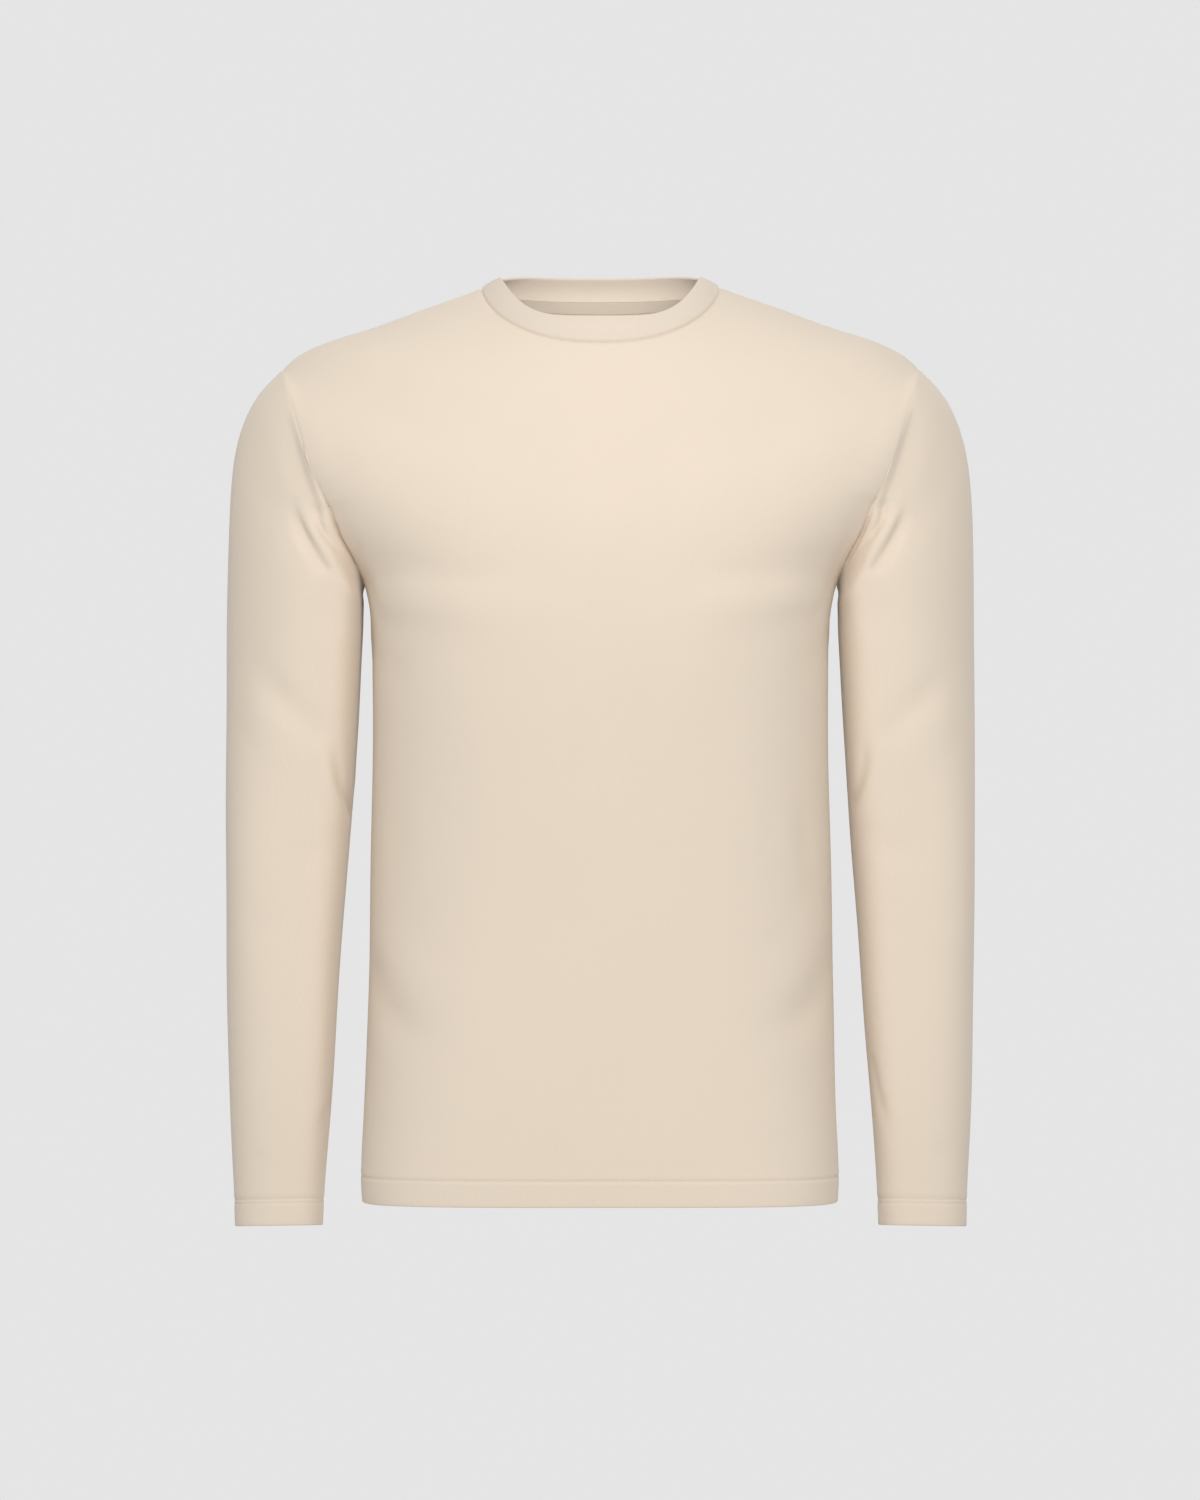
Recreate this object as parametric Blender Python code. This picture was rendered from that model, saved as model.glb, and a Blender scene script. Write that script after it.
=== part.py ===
"""Long-sleeve crew-neck t-shirt in its worn, hollow shape.

The origin is at the base of the neck, between the shoulders. +Z is up, the front faces -Y and
the wearer's left is +X. Every table gives the outer face of the cloth in metres, for the
wearer's left half, and the right half is its mirror. The wall lies inside that face.
"""
from collections import namedtuple

import bmesh
import bpy
import numpy as np

# ---------------------------------------------------------------- driving sizes, in metres
BODY_WALL = 0.0012        # one layer of jersey
TURNED_WALL = 0.0024      # two layers, where the hem or the cuff is turned up
COLLAR_WALL = 0.0020      # rib knit folded double
TAPE_WALL = 0.0010
SEAM_GAP = 0.0003
HEM_DEPTH = 0.020
CUFF_DEPTH = 0.0185
TURN_STEP = 0.0015        # the stretch over which a turned-up edge ends
TAPE_WIDTH = 0.010
TAPE_DROP = 0.0012        # from the collar seam down to the tape's upper edge
MITRE_LIMIT = 1.5         # how much a wall may thicken where two pieces meet at an angle
SAME_FACING = 0.9         # the cosine above which two normals count as one
FINE = 240                # points on a curve before it is spaced out evenly
FRONT, BACK = -1, 1       # the side of the garment, as a sign of Y
LEFT, RIGHT = 1, -1       # the wearer's side, as a sign of X

PANEL_COLUMNS = 28
SIDE_ROWS = 14            # rows of each stretch of a panel, from the hem to the neck
SIDE_CROWDING = 1.5       # the side's rows lie closer together towards the underarm
ARMHOLE_ROWS = 13
ARMHOLE_CROWDING = 1.35
SHOULDER_ROWS = 6

# ---------------------------------------------------------------- tables
# The side seam, from the hem to the underarm.
Side = namedtuple("Side", "z x")
SIDE_SEAM = [
    Side(-0.6968, 0.1809),
    Side(-0.6830, 0.1819),
    Side(-0.6370, 0.1811),
    Side(-0.5750, 0.1790),
    Side(-0.4990, 0.1773),
    Side(-0.4300, 0.1759),
    Side(-0.3500, 0.1750),
    Side(-0.2900, 0.1755),
    Side(-0.2550, 0.1764),
    Side(-0.2360, 0.1783),
    Side(-0.2266, 0.1809),
]

# The armhole edge of each panel, from the underarm to the shoulder tip.
Edge = namedtuple("Edge", "x y z")
ARMHOLE = {
    FRONT: [
        Edge(0.1809, 0.000, -0.2266),
        Edge(0.1832, -0.024, -0.2180),
        Edge(0.1898, -0.044, -0.2020),
        Edge(0.1996, -0.057, -0.1830),
        Edge(0.2064, -0.063, -0.1650),
        Edge(0.2155, -0.063, -0.1440),
        Edge(0.2253, -0.057, -0.1177),
        Edge(0.2350, -0.043, -0.0890),
        Edge(0.2412, -0.022, -0.0690),
        Edge(0.2438, 0.008, -0.0595),
    ],
    BACK: [
        Edge(0.1809, 0.000, -0.2266),
        Edge(0.1838, 0.026, -0.2185),
        Edge(0.1900, 0.050, -0.2040),
        Edge(0.2000, 0.066, -0.1850),
        Edge(0.2115, 0.074, -0.1640),
        Edge(0.2225, 0.075, -0.1400),
        Edge(0.2320, 0.069, -0.1130),
        Edge(0.2385, 0.055, -0.0870),
        Edge(0.2425, 0.036, -0.0690),
        Edge(0.2438, 0.008, -0.0595),
    ],
}

# The shoulder seam, from the shoulder tip to the neck.
SHOULDER_SEAM = [
    Edge(0.2438, 0.008, -0.0595),
    Edge(0.2345, 0.008, -0.0502),
    Edge(0.2210, 0.008, -0.0432),
    Edge(0.2060, 0.007, -0.0371),
    Edge(0.1870, 0.006, -0.0315),
    Edge(0.1600, 0.004, -0.0224),
    Edge(0.1336, 0.002, -0.0128),
    Edge(0.1100, 0.001, -0.0046),
    Edge(0.0915, 0.000, 0.0020),
]

# The centre line of each panel, from the hem to the neck.
Centre = namedtuple("Centre", "z y")
CENTRE_LINE = {
    FRONT: [
        Centre(-0.6926, -0.1150),
        Centre(-0.6200, -0.1125),
        Centre(-0.5300, -0.1105),
        Centre(-0.4300, -0.1120),
        Centre(-0.3300, -0.1190),
        Centre(-0.2500, -0.1255),
        Centre(-0.1900, -0.1235),
        Centre(-0.1300, -0.1115),
        Centre(-0.0800, -0.0940),
        Centre(-0.0470, -0.0800),
    ],
    BACK: [
        Centre(-0.7000, 0.1170),
        Centre(-0.6300, 0.1140),
        Centre(-0.5400, 0.1035),
        Centre(-0.4400, 0.0970),
        Centre(-0.3400, 0.1020),
        Centre(-0.2400, 0.1130),
        Centre(-0.1500, 0.1165),
        Centre(-0.0800, 0.1030),
        Centre(-0.0320, 0.0820),
        Centre(-0.0020, 0.0660),
    ],
}

# How the rows of a panel change from the hem (level 0) through the underarm (1) and the
# shoulder tip (2) to the neck (3). A row runs from the centre line to the panel's edge:
# squareness 2 is an ellipse, and drop says how the row climbs from the centre to the edge.
Level = namedtuple("Level", "level front_z back_z edge_line_y squareness drop")
LEVELS = [
    Level(0.00, -0.6926, -0.7000, 0.000, 4.00, 0.5),
    Level(0.25, -0.5812, -0.5860, 0.000, 3.00, 1.2),
    Level(0.50, -0.4700, -0.4720, 0.000, 2.50, 2.0),
    Level(1.00, -0.2480, -0.2440, 0.000, 2.45, 2.0),
    Level(1.25, -0.2190, -0.2100, 0.010, 2.20, 2.0),
    Level(1.50, -0.1900, -0.1760, 0.018, 2.00, 2.1),
    Level(1.75, -0.1600, -0.1410, 0.018, 1.80, 2.3),
    Level(2.00, -0.1290, -0.1060, 0.008, 1.65, 2.5),
    Level(2.50, -0.0860, -0.0510, 0.004, 1.85, 2.0),
    Level(3.00, -0.0470, -0.0020, 0.000, 2.25, 1.15),
]

# The sleeve's rings, from the armhole to the cuff. Each lies across the arm between an outer
# and an inner point, with its own depth to the front and to the back, and its own squareness
# towards each point. lean says how far the middle of its front lies towards the inner point,
# in half widths of the ring, and rise how far its front is raised, as a share of its depth.
Ring = namedtuple("Ring", "outer_x outer_z inner_x inner_z line_y front back "
                          "outer_square inner_square lean rise")
SLEEVE_RINGS = [
    Ring(0.2438, -0.0595, 0.1809, -0.2266, 0.004, 0.0640, 0.0690, 1.95, 1.95, 0.20, 0.00),
    Ring(0.2607, -0.0770, 0.1828, -0.2290, 0.004, 0.0640, 0.0700, 1.90, 1.95, 0.30, 0.00),
    Ring(0.2730, -0.0991, 0.1842, -0.2330, 0.004, 0.0650, 0.0700, 1.85, 2.10, 0.38, 0.00),
    Ring(0.2806, -0.1260, 0.1836, -0.2385, 0.004, 0.0660, 0.0690, 1.80, 2.50, 0.38, 0.00),
    Ring(0.2842, -0.1560, 0.1829, -0.2460, 0.004, 0.0660, 0.0670, 1.75, 2.90, 0.30, 0.00),
    Ring(0.2862, -0.2000, 0.1833, -0.2600, 0.004, 0.0645, 0.0640, 1.78, 3.20, 0.22, 0.00),
    Ring(0.2874, -0.2600, 0.1846, -0.2840, 0.004, 0.0615, 0.0610, 1.85, 3.30, 0.18, 0.00),
    Ring(0.2876, -0.3300, 0.1872, -0.3360, 0.003, 0.0575, 0.0575, 2.15, 3.30, 0.16, 0.01),
    Ring(0.2874, -0.4060, 0.1920, -0.4080, 0.001, 0.0530, 0.0540, 2.85, 3.30, 0.10, 0.04),
    Ring(0.2860, -0.4900, 0.1982, -0.4900, -0.005, 0.0480, 0.0490, 2.85, 3.20, 0.08, 0.08),
    Ring(0.2838, -0.5750, 0.2033, -0.5750, -0.014, 0.0430, 0.0430, 2.50, 3.20, 0.08, 0.10),
    Ring(0.2810, -0.6500, 0.2082, -0.6490, -0.023, 0.0370, 0.0370, 2.40, 3.00, 0.06, 0.10),
    Ring(0.2788, -0.7000, 0.2112, -0.6990, -0.029, 0.0325, 0.0320, 2.40, 2.70, 0.05, 0.10),
    Ring(0.2784, -0.7150, 0.2118, -0.7140, -0.031, 0.0315, 0.0310, 2.40, 2.70, 0.05, 0.10),
]
BACK_LEAN = 0.5           # the back of a ring leans this share of what its front does
SLEEVE_EASE = 0.090       # the length over which the armhole's own outline fades into the rings
CAP_ROWS = 10             # rings of each stretch of a sleeve, from the armhole to the cuff
ARM_ROWS = 13
CAP_LENGTH = 0.150        # measured down the outer side

# The collar's upper edge, at its front, side and back, over the neck seam.
COLLAR_TOP_FRONT = Edge(0.0, -0.0720, -0.0250)
COLLAR_TOP_SIDE = Edge(0.0768, 0.0, 0.0105)
COLLAR_TOP_BACK = Edge(0.0, 0.0600, 0.0160)
COLLAR_TOP_SQUARENESS = 2.35
COLLAR_FRONT_CLIMB = 4.4  # how late the upper edge climbs from its front to the side
COLLAR_BACK_CLIMB = 8.0   # and how late it sinks from its back to the side
# How far up the collar each of its rows is, and what share of the full wall it has there.
CollarRow = namedtuple("CollarRow", "height wall bulge")
COLLAR_ROWS = [
    CollarRow(0.00, 1.00, 0.0000),
    CollarRow(0.30, 1.00, 0.0017),
    CollarRow(0.65, 1.00, 0.0018),
    CollarRow(0.90, 0.85, 0.0006),
    CollarRow(1.00, 0.40, 0.0000),
]

# The largest folds, as soft troughs (depth above 0) or ridges (below 0) between two points.
# The cloth there moves against the direction that it faces.
Fold = namedtuple("Fold", "x1 y1 z1 x2 y2 z2 width depth face_x face_y")
FOLDS = [
    Fold(0.2275, -0.064, -0.168, 0.205, -0.063, -0.212, 0.010, 0.0070, 0.2, -1.0),
    Fold(0.2095, -0.064, -0.172, 0.195, -0.057, -0.196, 0.008, 0.0050, 0.2, -1.0),
    Fold(0.2360, -0.063, -0.180, 0.221, -0.062, -0.213, 0.010, 0.0025, 0.2, -1.0),
    Fold(0.2180, -0.064, -0.166, 0.199, -0.061, -0.204, 0.007, -0.0020, 0.2, -1.0),
    Fold(0.2580, -0.050, -0.295, 0.218, -0.058, -0.338, 0.020, 0.0025, 0.1, -1.0),
    Fold(0.1900, 0.000, -0.345, 0.204, -0.040, -0.392, 0.014, 0.0030, -0.7, -0.7),
    Fold(0.2330, 0.072, -0.170, 0.205, 0.066, -0.222, 0.012, 0.0050, 0.2, 1.0),
    Fold(0.2460, 0.066, -0.180, 0.226, 0.064, -0.232, 0.013, 0.0030, 0.2, 1.0),
    Fold(0.1960, 0.035, -0.360, 0.236, 0.052, -0.395, 0.018, 0.0035, 0.0, 1.0),
    Fold(0.2050, 0.048, -0.250, 0.250, 0.058, -0.300, 0.020, 0.0020, 0.0, 1.0),
    Fold(0.2040, -0.040, -0.600, 0.250, -0.054, -0.630, 0.018, 0.0020, 0.0, -1.0),
    Fold(0.1740, 0.030, -0.265, 0.120, 0.100, -0.330, 0.026, 0.0040, 0.4, 0.9),
    Fold(0.1720, 0.030, -0.400, 0.060, 0.096, -0.440, 0.028, 0.0030, 0.2, 1.0),
    Fold(0.1600, -0.060, -0.275, 0.070, -0.118, -0.290, 0.024, 0.0020, 0.1, -1.0),
]
RIGHT_FOLD_SHIFT = 0.003  # the right side's folds lie this much lower
RIGHT_FOLD_SHARE = 0.92   # and are this deep beside the left side's

CLOTH_COLOUR = (0.80, 0.70, 0.59, 1.0)
RIB_COLOUR = (0.80, 0.70, 0.60, 1.0)
TAPE_COLOUR = (0.66, 0.57, 0.48, 1.0)
CLOTH_ROUGHNESS = 0.9


# ---------------------------------------------------------------- curves
def spline(knots, values, places):
    """Read a natural cubic spline through rows of values at the given places."""
    knots = np.asarray(knots, float)
    values = np.asarray(values, float)
    places = np.clip(np.asarray(places, float), knots[0], knots[-1])
    steps = np.diff(knots)
    slopes = np.diff(values, axis=0) / steps[:, None]
    system = np.eye(len(knots))
    target = np.zeros_like(values)
    for i in range(1, len(knots) - 1):
        system[i, i - 1:i + 2] = (steps[i - 1], 2 * (steps[i - 1] + steps[i]), steps[i])
        target[i] = 6 * (slopes[i] - slopes[i - 1])
    bends = np.linalg.solve(system, target)
    cell = np.clip(np.searchsorted(knots, places, side="right") - 1, 0, len(steps) - 1)
    step = steps[cell][:, None]
    ahead = (places - knots[cell])[:, None]
    behind = step - ahead
    start, end = values[cell], values[cell + 1]
    start_bend, end_bend = bends[cell], bends[cell + 1]
    curve = (start_bend * behind ** 3 + end_bend * ahead ** 3) / (6 * step)
    curve += (start / step - start_bend * step / 6) * behind
    curve += (end / step - end_bend * step / 6) * ahead
    return curve


def evenly(points, fractions):
    """Points at the given fractions of a polyline's length."""
    lengths = np.linalg.norm(np.diff(points, axis=0), axis=1)
    along = np.concatenate([[0.0], np.cumsum(lengths)])
    places = np.asarray(fractions, float) * along[-1]
    return np.stack([np.interp(places, along, points[:, axis]) for axis in range(3)], axis=1)


def chord_lengths(points):
    """Distance along a list of points, starting at 0."""
    return np.concatenate([[0.0], np.cumsum(np.linalg.norm(np.diff(points, axis=0), axis=1))])


def through(rows, fractions):
    """Points at fractions of the length of the smooth curve through a table's rows."""
    points = np.array(rows, float)
    knots = chord_lengths(points)
    fine = spline(knots, points, np.linspace(0.0, knots[-1], FINE))
    return evenly(fine, fractions)


# ---------------------------------------------------------------- front and back panels
def panel_edge(face, level):
    """The point of a panel's edge at a level: side seam, then armhole, then shoulder."""
    if level <= 1.0:
        knots = [row.z for row in SIDE_SEAM]
        z = knots[0] + (knots[-1] - knots[0]) * level
        x = spline(knots, [[row.x] for row in SIDE_SEAM], [z])[0, 0]
        return np.array([x, 0.0, z])
    if level <= 2.0:
        return through(ARMHOLE[face], [level - 1.0])[0]
    return through(SHOULDER_SEAM, [level - 2.0])[0]


def panel_row(face, level, fractions):
    """One row of a panel's left half, from the centre line (0) to its edge (1)."""
    edge = panel_edge(face, level)
    front_z, back_z, edge_line_y, squareness, drop = spline(
        [row.level for row in LEVELS], [row[1:] for row in LEVELS], [level])[0]
    centre_z = front_z if face == FRONT else back_z
    line = CENTRE_LINE[face]
    centre_y = spline([row.z for row in line], [[row.y] for row in line], [centre_z])[0, 0]
    reach = centre_y - edge_line_y
    share = np.clip((edge[1] - edge_line_y) / reach, 0.0, 1.0)
    last_turn = np.arccos(share ** (squareness / 2))
    turn = np.linspace(0.0, last_turn, FINE)
    across = np.sin(turn) ** (2 / squareness)
    climb = 1.0 - np.cos(turn) ** drop
    points = np.stack([
        edge[0] * across / across[-1],
        edge_line_y + reach * np.cos(turn) ** (2 / squareness),
        centre_z + (edge[2] - centre_z) * climb / climb[-1],
    ], axis=1)
    points[-1] = edge
    return evenly(points, fractions)


def armhole_fractions():
    """Where the armhole's points lie along its front or its back, from the underarm."""
    return np.linspace(0.0, 1.0, ARMHOLE_ROWS + 1) ** ARMHOLE_CROWDING


def panel_levels():
    """The levels of a panel's rows, with two close rows where the hem's turn-up ends."""
    side_length = SIDE_SEAM[-1].z - SIDE_SEAM[0].z
    turn_top = HEM_DEPTH / side_length
    turn_end = (HEM_DEPTH + TURN_STEP) / side_length
    crowded = 1.0 - np.linspace(1.0, 0.0, SIDE_ROWS) ** SIDE_CROWDING
    side = turn_end + (1.0 - turn_end) * crowded
    armhole = 1.0 + armhole_fractions()[1:]
    shoulder = np.linspace(2.0, 3.0, SHOULDER_ROWS + 1)[1:]
    return np.concatenate([[0.0, turn_top], side, armhole, shoulder])


def panel_sheet(face, levels):
    """The outer points of a panel: a row a level, from the right edge to the left."""
    half = PANEL_COLUMNS // 2
    rows = []
    for level in levels:
        left = panel_row(face, level, np.linspace(0.0, 1.0, half + 1))
        right = left[:0:-1] * (-1.0, 1.0, 1.0)
        rows.append(np.concatenate([right, left]))
    return np.array(rows)


# ---------------------------------------------------------------- sleeves
def sleeve_distances():
    """How far down the sleeve each of its rings is, along its outer side."""
    outer = np.array([(row.outer_x, row.outer_z) for row in SLEEVE_RINGS])
    total = chord_lengths(outer)[-1]
    cap = np.linspace(0.0, CAP_LENGTH, CAP_ROWS + 1)
    arm = np.linspace(CAP_LENGTH, total - CUFF_DEPTH - TURN_STEP, ARM_ROWS + 1)[1:]
    return np.concatenate([cap, arm, [total - CUFF_DEPTH, total]])


def sleeve_ring(distance, fractions):
    """One ring of the left sleeve, from its inner point round the front and back again."""
    table = np.array(SLEEVE_RINGS, float)
    knots = chord_lengths(table[:, :2])
    outer_x, outer_z, inner_x, inner_z, line_y, front, back, outer_square, inner_square, lean, rise = (
        spline(knots, table, [distance])[0])
    turn = np.linspace(0.0, np.pi, FINE)
    squareness = np.where(turn < np.pi / 2, inner_square, outer_square)
    across = np.sign(np.cos(turn)) * np.abs(np.cos(turn)) ** (2 / squareness)
    deep = np.abs(np.sin(turn)) ** (2 / squareness)
    halves = []
    for depth, share in ((-front, lean), (back, lean * BACK_LEAN)):
        place = across + share * (1.0 - across ** 2)
        half = np.stack([
            (inner_x + outer_x) / 2 + (inner_x - outer_x) / 2 * place,
            line_y + depth * deep,
            (inner_z + outer_z) / 2 + (inner_z - outer_z) / 2 * place - rise * depth * deep,
        ], axis=1)
        halves.append(evenly(half, fractions))
    return np.concatenate([halves[0], halves[1][-2:0:-1]])


def sleeve_sheet(front_edge, back_edge):
    """The outer points of the left sleeve, whose first ring is the armhole's own points."""
    armhole = np.concatenate([front_edge, back_edge[-2:0:-1]])
    fractions = armhole_fractions()
    change = armhole - sleeve_ring(0.0, fractions)
    rows = []
    for distance in sleeve_distances():
        fade = np.clip(1.0 - distance / SLEEVE_EASE, 0.0, 1.0)
        ease = fade * fade * (3.0 - 2.0 * fade)
        rows.append(sleeve_ring(distance, fractions) + change * ease)
    return np.array(rows)


# ---------------------------------------------------------------- collar and tape
def collar_top(seam_ring):
    """The collar's upper edge, a point over each point of the neck seam."""
    half = PANEL_COLUMNS // 2
    turn = np.linspace(0.0, np.pi / 2, FINE)
    across = np.sin(turn) ** (2 / COLLAR_TOP_SQUARENESS)
    along = np.cos(turn) ** (2 / COLLAR_TOP_SQUARENESS)
    quarters = []
    for middle, climb in ((COLLAR_TOP_FRONT, COLLAR_FRONT_CLIMB), (COLLAR_TOP_BACK, COLLAR_BACK_CLIMB)):
        quarter = np.stack([
            COLLAR_TOP_SIDE.x * across,
            middle.y * along,
            middle.z + (COLLAR_TOP_SIDE.z - middle.z) * across ** climb,
        ], axis=1)
        quarters.append(evenly(quarter, np.linspace(0.0, 1.0, half + 1)))
    front, back = quarters
    mirror = (-1.0, 1.0, 1.0)
    ring = np.concatenate([front[::-1] * mirror, front[1:], back[-2::-1], back[1:-1] * mirror])
    assert len(ring) == len(seam_ring)
    return ring


def collar_sheet(front_neck, back_neck):
    """The collar's outer points, in rows from the neck seam up to its folded edge."""
    seam_ring = np.concatenate([front_neck, back_neck[-2:0:-1]])
    top_ring = collar_top(seam_ring)
    outward = seam_ring * (1.0, 1.0, 0.0)
    outward /= np.linalg.norm(outward, axis=1)[:, None]
    rows = []
    for row in COLLAR_ROWS:
        ring = seam_ring + (top_ring - seam_ring) * row.height
        rows.append(ring + outward * row.bulge)
    return np.array(rows)


def tape_sheets(back_inner):
    """Both faces of the neck tape, from the back panel's inner points moved in."""
    top, below = back_inner[-1], back_inner[-2]
    towards = (below - top) / np.linalg.norm(below - top, axis=1)[:, None]
    inward = np.cross(np.gradient(top, axis=0), towards)
    inward /= np.linalg.norm(inward, axis=1)[:, None]
    inward *= -np.sign(np.sum(inward * top * (1.0, 1.0, 0.0), axis=1))[:, None]
    near, far = [], []
    for drop in (TAPE_DROP, TAPE_DROP + TAPE_WIDTH):
        line = top + towards * drop
        near.append(line + inward * SEAM_GAP)
        far.append(line + inward * (SEAM_GAP + TAPE_WALL))
    return np.array(near)[:, 1:-1], np.array(far)[:, 1:-1]


# ---------------------------------------------------------------- folds
def press_folds(sheet):
    """Move a sheet's points by the folds that pass near them, on both sides."""
    moved = sheet.copy()
    for side in (LEFT, RIGHT):
        lower = RIGHT_FOLD_SHIFT if side == RIGHT else 0.0
        share = RIGHT_FOLD_SHARE if side == RIGHT else 1.0
        for fold in FOLDS:
            start = np.array([fold.x1 * side, fold.y1, fold.z1 - lower])
            end = np.array([fold.x2 * side, fold.y2, fold.z2 - lower])
            facing = np.array([fold.face_x * side, fold.face_y, 0.0])
            facing /= np.linalg.norm(facing)
            run = end - start
            along = np.clip((sheet - start) @ run / (run @ run), 0.0, 1.0)
            nearest = start + along[..., None] * run
            distance = np.linalg.norm(sheet - nearest, axis=-1)
            push = fold.depth * share * np.exp(-(distance / fold.width) ** 2)
            moved -= push[..., None] * facing
    return moved


# ---------------------------------------------------------------- walls
def facing_out(sheet, closed, centre_of):
    """The outward normal at each point of a sheet."""
    if closed:
        wrapped = np.concatenate([sheet[:, -1:], sheet, sheet[:, :1]], axis=1)
        across = np.gradient(wrapped, axis=1)[:, 1:-1]
    else:
        across = np.gradient(sheet, axis=1)
    along = np.gradient(sheet, axis=0)
    normal = np.cross(across, along)
    normal /= np.linalg.norm(normal, axis=2)[..., None]
    outward = np.sign(np.sum(normal * (sheet - centre_of(sheet)), axis=2).sum())
    return normal * outward


def row_centres(sheet):
    """The middle of each ring of a tube, as what its points face away from."""
    return sheet.mean(axis=1, keepdims=True)


def body_axis(sheet):
    """The points of the upright middle line level with a panel's points."""
    return sheet * (0.0, 0.0, 1.0)


class Piece:
    """A sheet of outer points, its normals and its wall, before it becomes a body."""

    def __init__(self, sheet, closed, centre_of, wall):
        self.sheet = sheet
        self.closed = closed
        self.normal = facing_out(sheet, closed, centre_of)
        self.wall = np.broadcast_to(np.asarray(wall, float)[:, None], sheet.shape[:2]).copy()

    def edge_points(self):
        """The row and column of every point on the sheet's edges."""
        rows, columns = self.sheet.shape[:2]
        for row in range(rows):
            for column in range(columns):
                on_side = not self.closed and column in (0, columns - 1)
                if row in (0, rows - 1) or on_side:
                    yield row, column

    def away(self, index):
        """The direction from an edge point into the piece."""
        row, column = index
        rows, columns = self.sheet.shape[:2]
        inner_row = {0: 1, rows - 1: rows - 2}.get(row, row)
        inner_column = column
        if not self.closed:
            inner_column = {0: 1, columns - 1: columns - 2}.get(column, column)
        step = self.sheet[inner_row, inner_column] - self.sheet[index]
        return step / np.linalg.norm(step)


def meeting_points(pieces):
    """The groups of edge points, of different pieces, that lie at one place."""
    groups = {}
    for piece in pieces:
        for index in piece.edge_points():
            place = tuple(np.round(piece.sheet[index], 6))
            groups.setdefault(place, []).append((piece, index))
    return [group for group in groups.values() if len(group) > 1]


def mitre(group):
    """Give the pieces that meet at a point one normal there, and fit their walls to it."""
    normals = [piece.normal[index].copy() for piece, index in group]
    different = []
    for normal in normals:
        if all(normal @ other < SAME_FACING for other in different):
            different.append(normal)
    shared = np.sum(different, axis=0)
    shared /= np.linalg.norm(shared)
    for (piece, index), own in zip(group, normals):
        piece.wall[index] /= max(own @ shared, 1.0 / MITRE_LIMIT)
        piece.normal[index] = shared


def part_seam(group):
    """How far each piece of a group moves, so that half the seam gap is on its side."""
    aways = [piece.away(index) for piece, index in group]
    moves = []
    for own, (piece, index) in zip(aways, group):
        move = np.zeros(3)
        for other in aways:
            if other is not own:
                across = other - own
                move -= across / np.linalg.norm(across) * SEAM_GAP / 2
        moves.append((piece, index, move))
    return moves


def join_seams(pieces):
    """Mitre every seam and open it to the seam gap."""
    groups = meeting_points(pieces)
    moves = [move for group in groups for move in part_seam(group)]
    for group in groups:
        mitre(group)
    for piece, index, move in moves:
        piece.sheet[index] += move


def inner_sheet(piece):
    """The inner points of a piece's wall."""
    return piece.sheet - piece.normal * piece.wall[..., None]


def wall_object(name, outer, inner, closed, material, collection):
    """One closed body between an outer and an inner sheet of points."""
    rows, columns = outer.shape[:2]
    mesh_data = bmesh.new()
    layers = [[[mesh_data.verts.new(point) for point in row] for row in sheet]
              for sheet in (outer, inner)]
    last = columns if closed else columns - 1
    for row in range(rows - 1):
        for column in range(last):
            beside = (column + 1) % columns
            mirrored = column >= columns // 2
            for turned, layer in zip((False, True), layers):
                corners = [layer[row][column], layer[row][beside],
                           layer[row + 1][beside], layer[row + 1][column]]
                if mirrored:
                    corners = corners[1:] + corners[:1]
                for triangle in ((0, 1, 2), (0, 2, 3)):
                    order = triangle[::-1] if turned else triangle
                    mesh_data.faces.new([corners[i] for i in order])
    outside, inside = layers
    for row, flip in ((0, True), (rows - 1, False)):
        for column in range(last):
            beside = (column + 1) % columns
            ends = [outside[row][column], outside[row][beside],
                    inside[row][beside], inside[row][column]]
            mesh_data.faces.new(ends[::-1] if flip else ends)
    if not closed:
        for column, flip in ((0, False), (columns - 1, True)):
            for row in range(rows - 1):
                ends = [outside[row][column], outside[row + 1][column],
                        inside[row + 1][column], inside[row][column]]
                mesh_data.faces.new(ends[::-1] if flip else ends)
    bmesh.ops.recalc_face_normals(mesh_data, faces=mesh_data.faces[:])
    mesh = bpy.data.meshes.new(name)
    mesh_data.to_mesh(mesh)
    mesh_data.free()
    mesh.shade_smooth()
    mesh.set_sharp_from_angle(angle=np.radians(50))
    mesh.materials.append(material)
    result = bpy.data.objects.new(name, mesh)
    collection.objects.link(result)
    return result


def cloth_material(name, colour):
    """A matt cloth of one colour."""
    material = bpy.data.materials.new(name)
    material.use_nodes = True
    shader = material.node_tree.nodes["Principled BSDF"]
    shader.inputs["Base Color"].default_value = colour
    shader.inputs["Roughness"].default_value = CLOTH_ROUGHNESS
    shader.inputs["Metallic"].default_value = 0.0
    return material


def remove_old_objects():
    """Empty the scene."""
    for item in list(bpy.data.objects):
        bpy.data.objects.remove(item, do_unlink=True)


def panel_walls(row_count):
    """The wall of each row of a panel: two layers up to the top of the hem's turn-up."""
    return [TURNED_WALL] * 2 + [BODY_WALL] * (row_count - 2)


def sleeve_walls(row_count):
    """The wall of each ring of a sleeve: two layers from the top of the cuff's turn-up."""
    return [BODY_WALL] * (row_count - 2) + [TURNED_WALL] * 2


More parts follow.
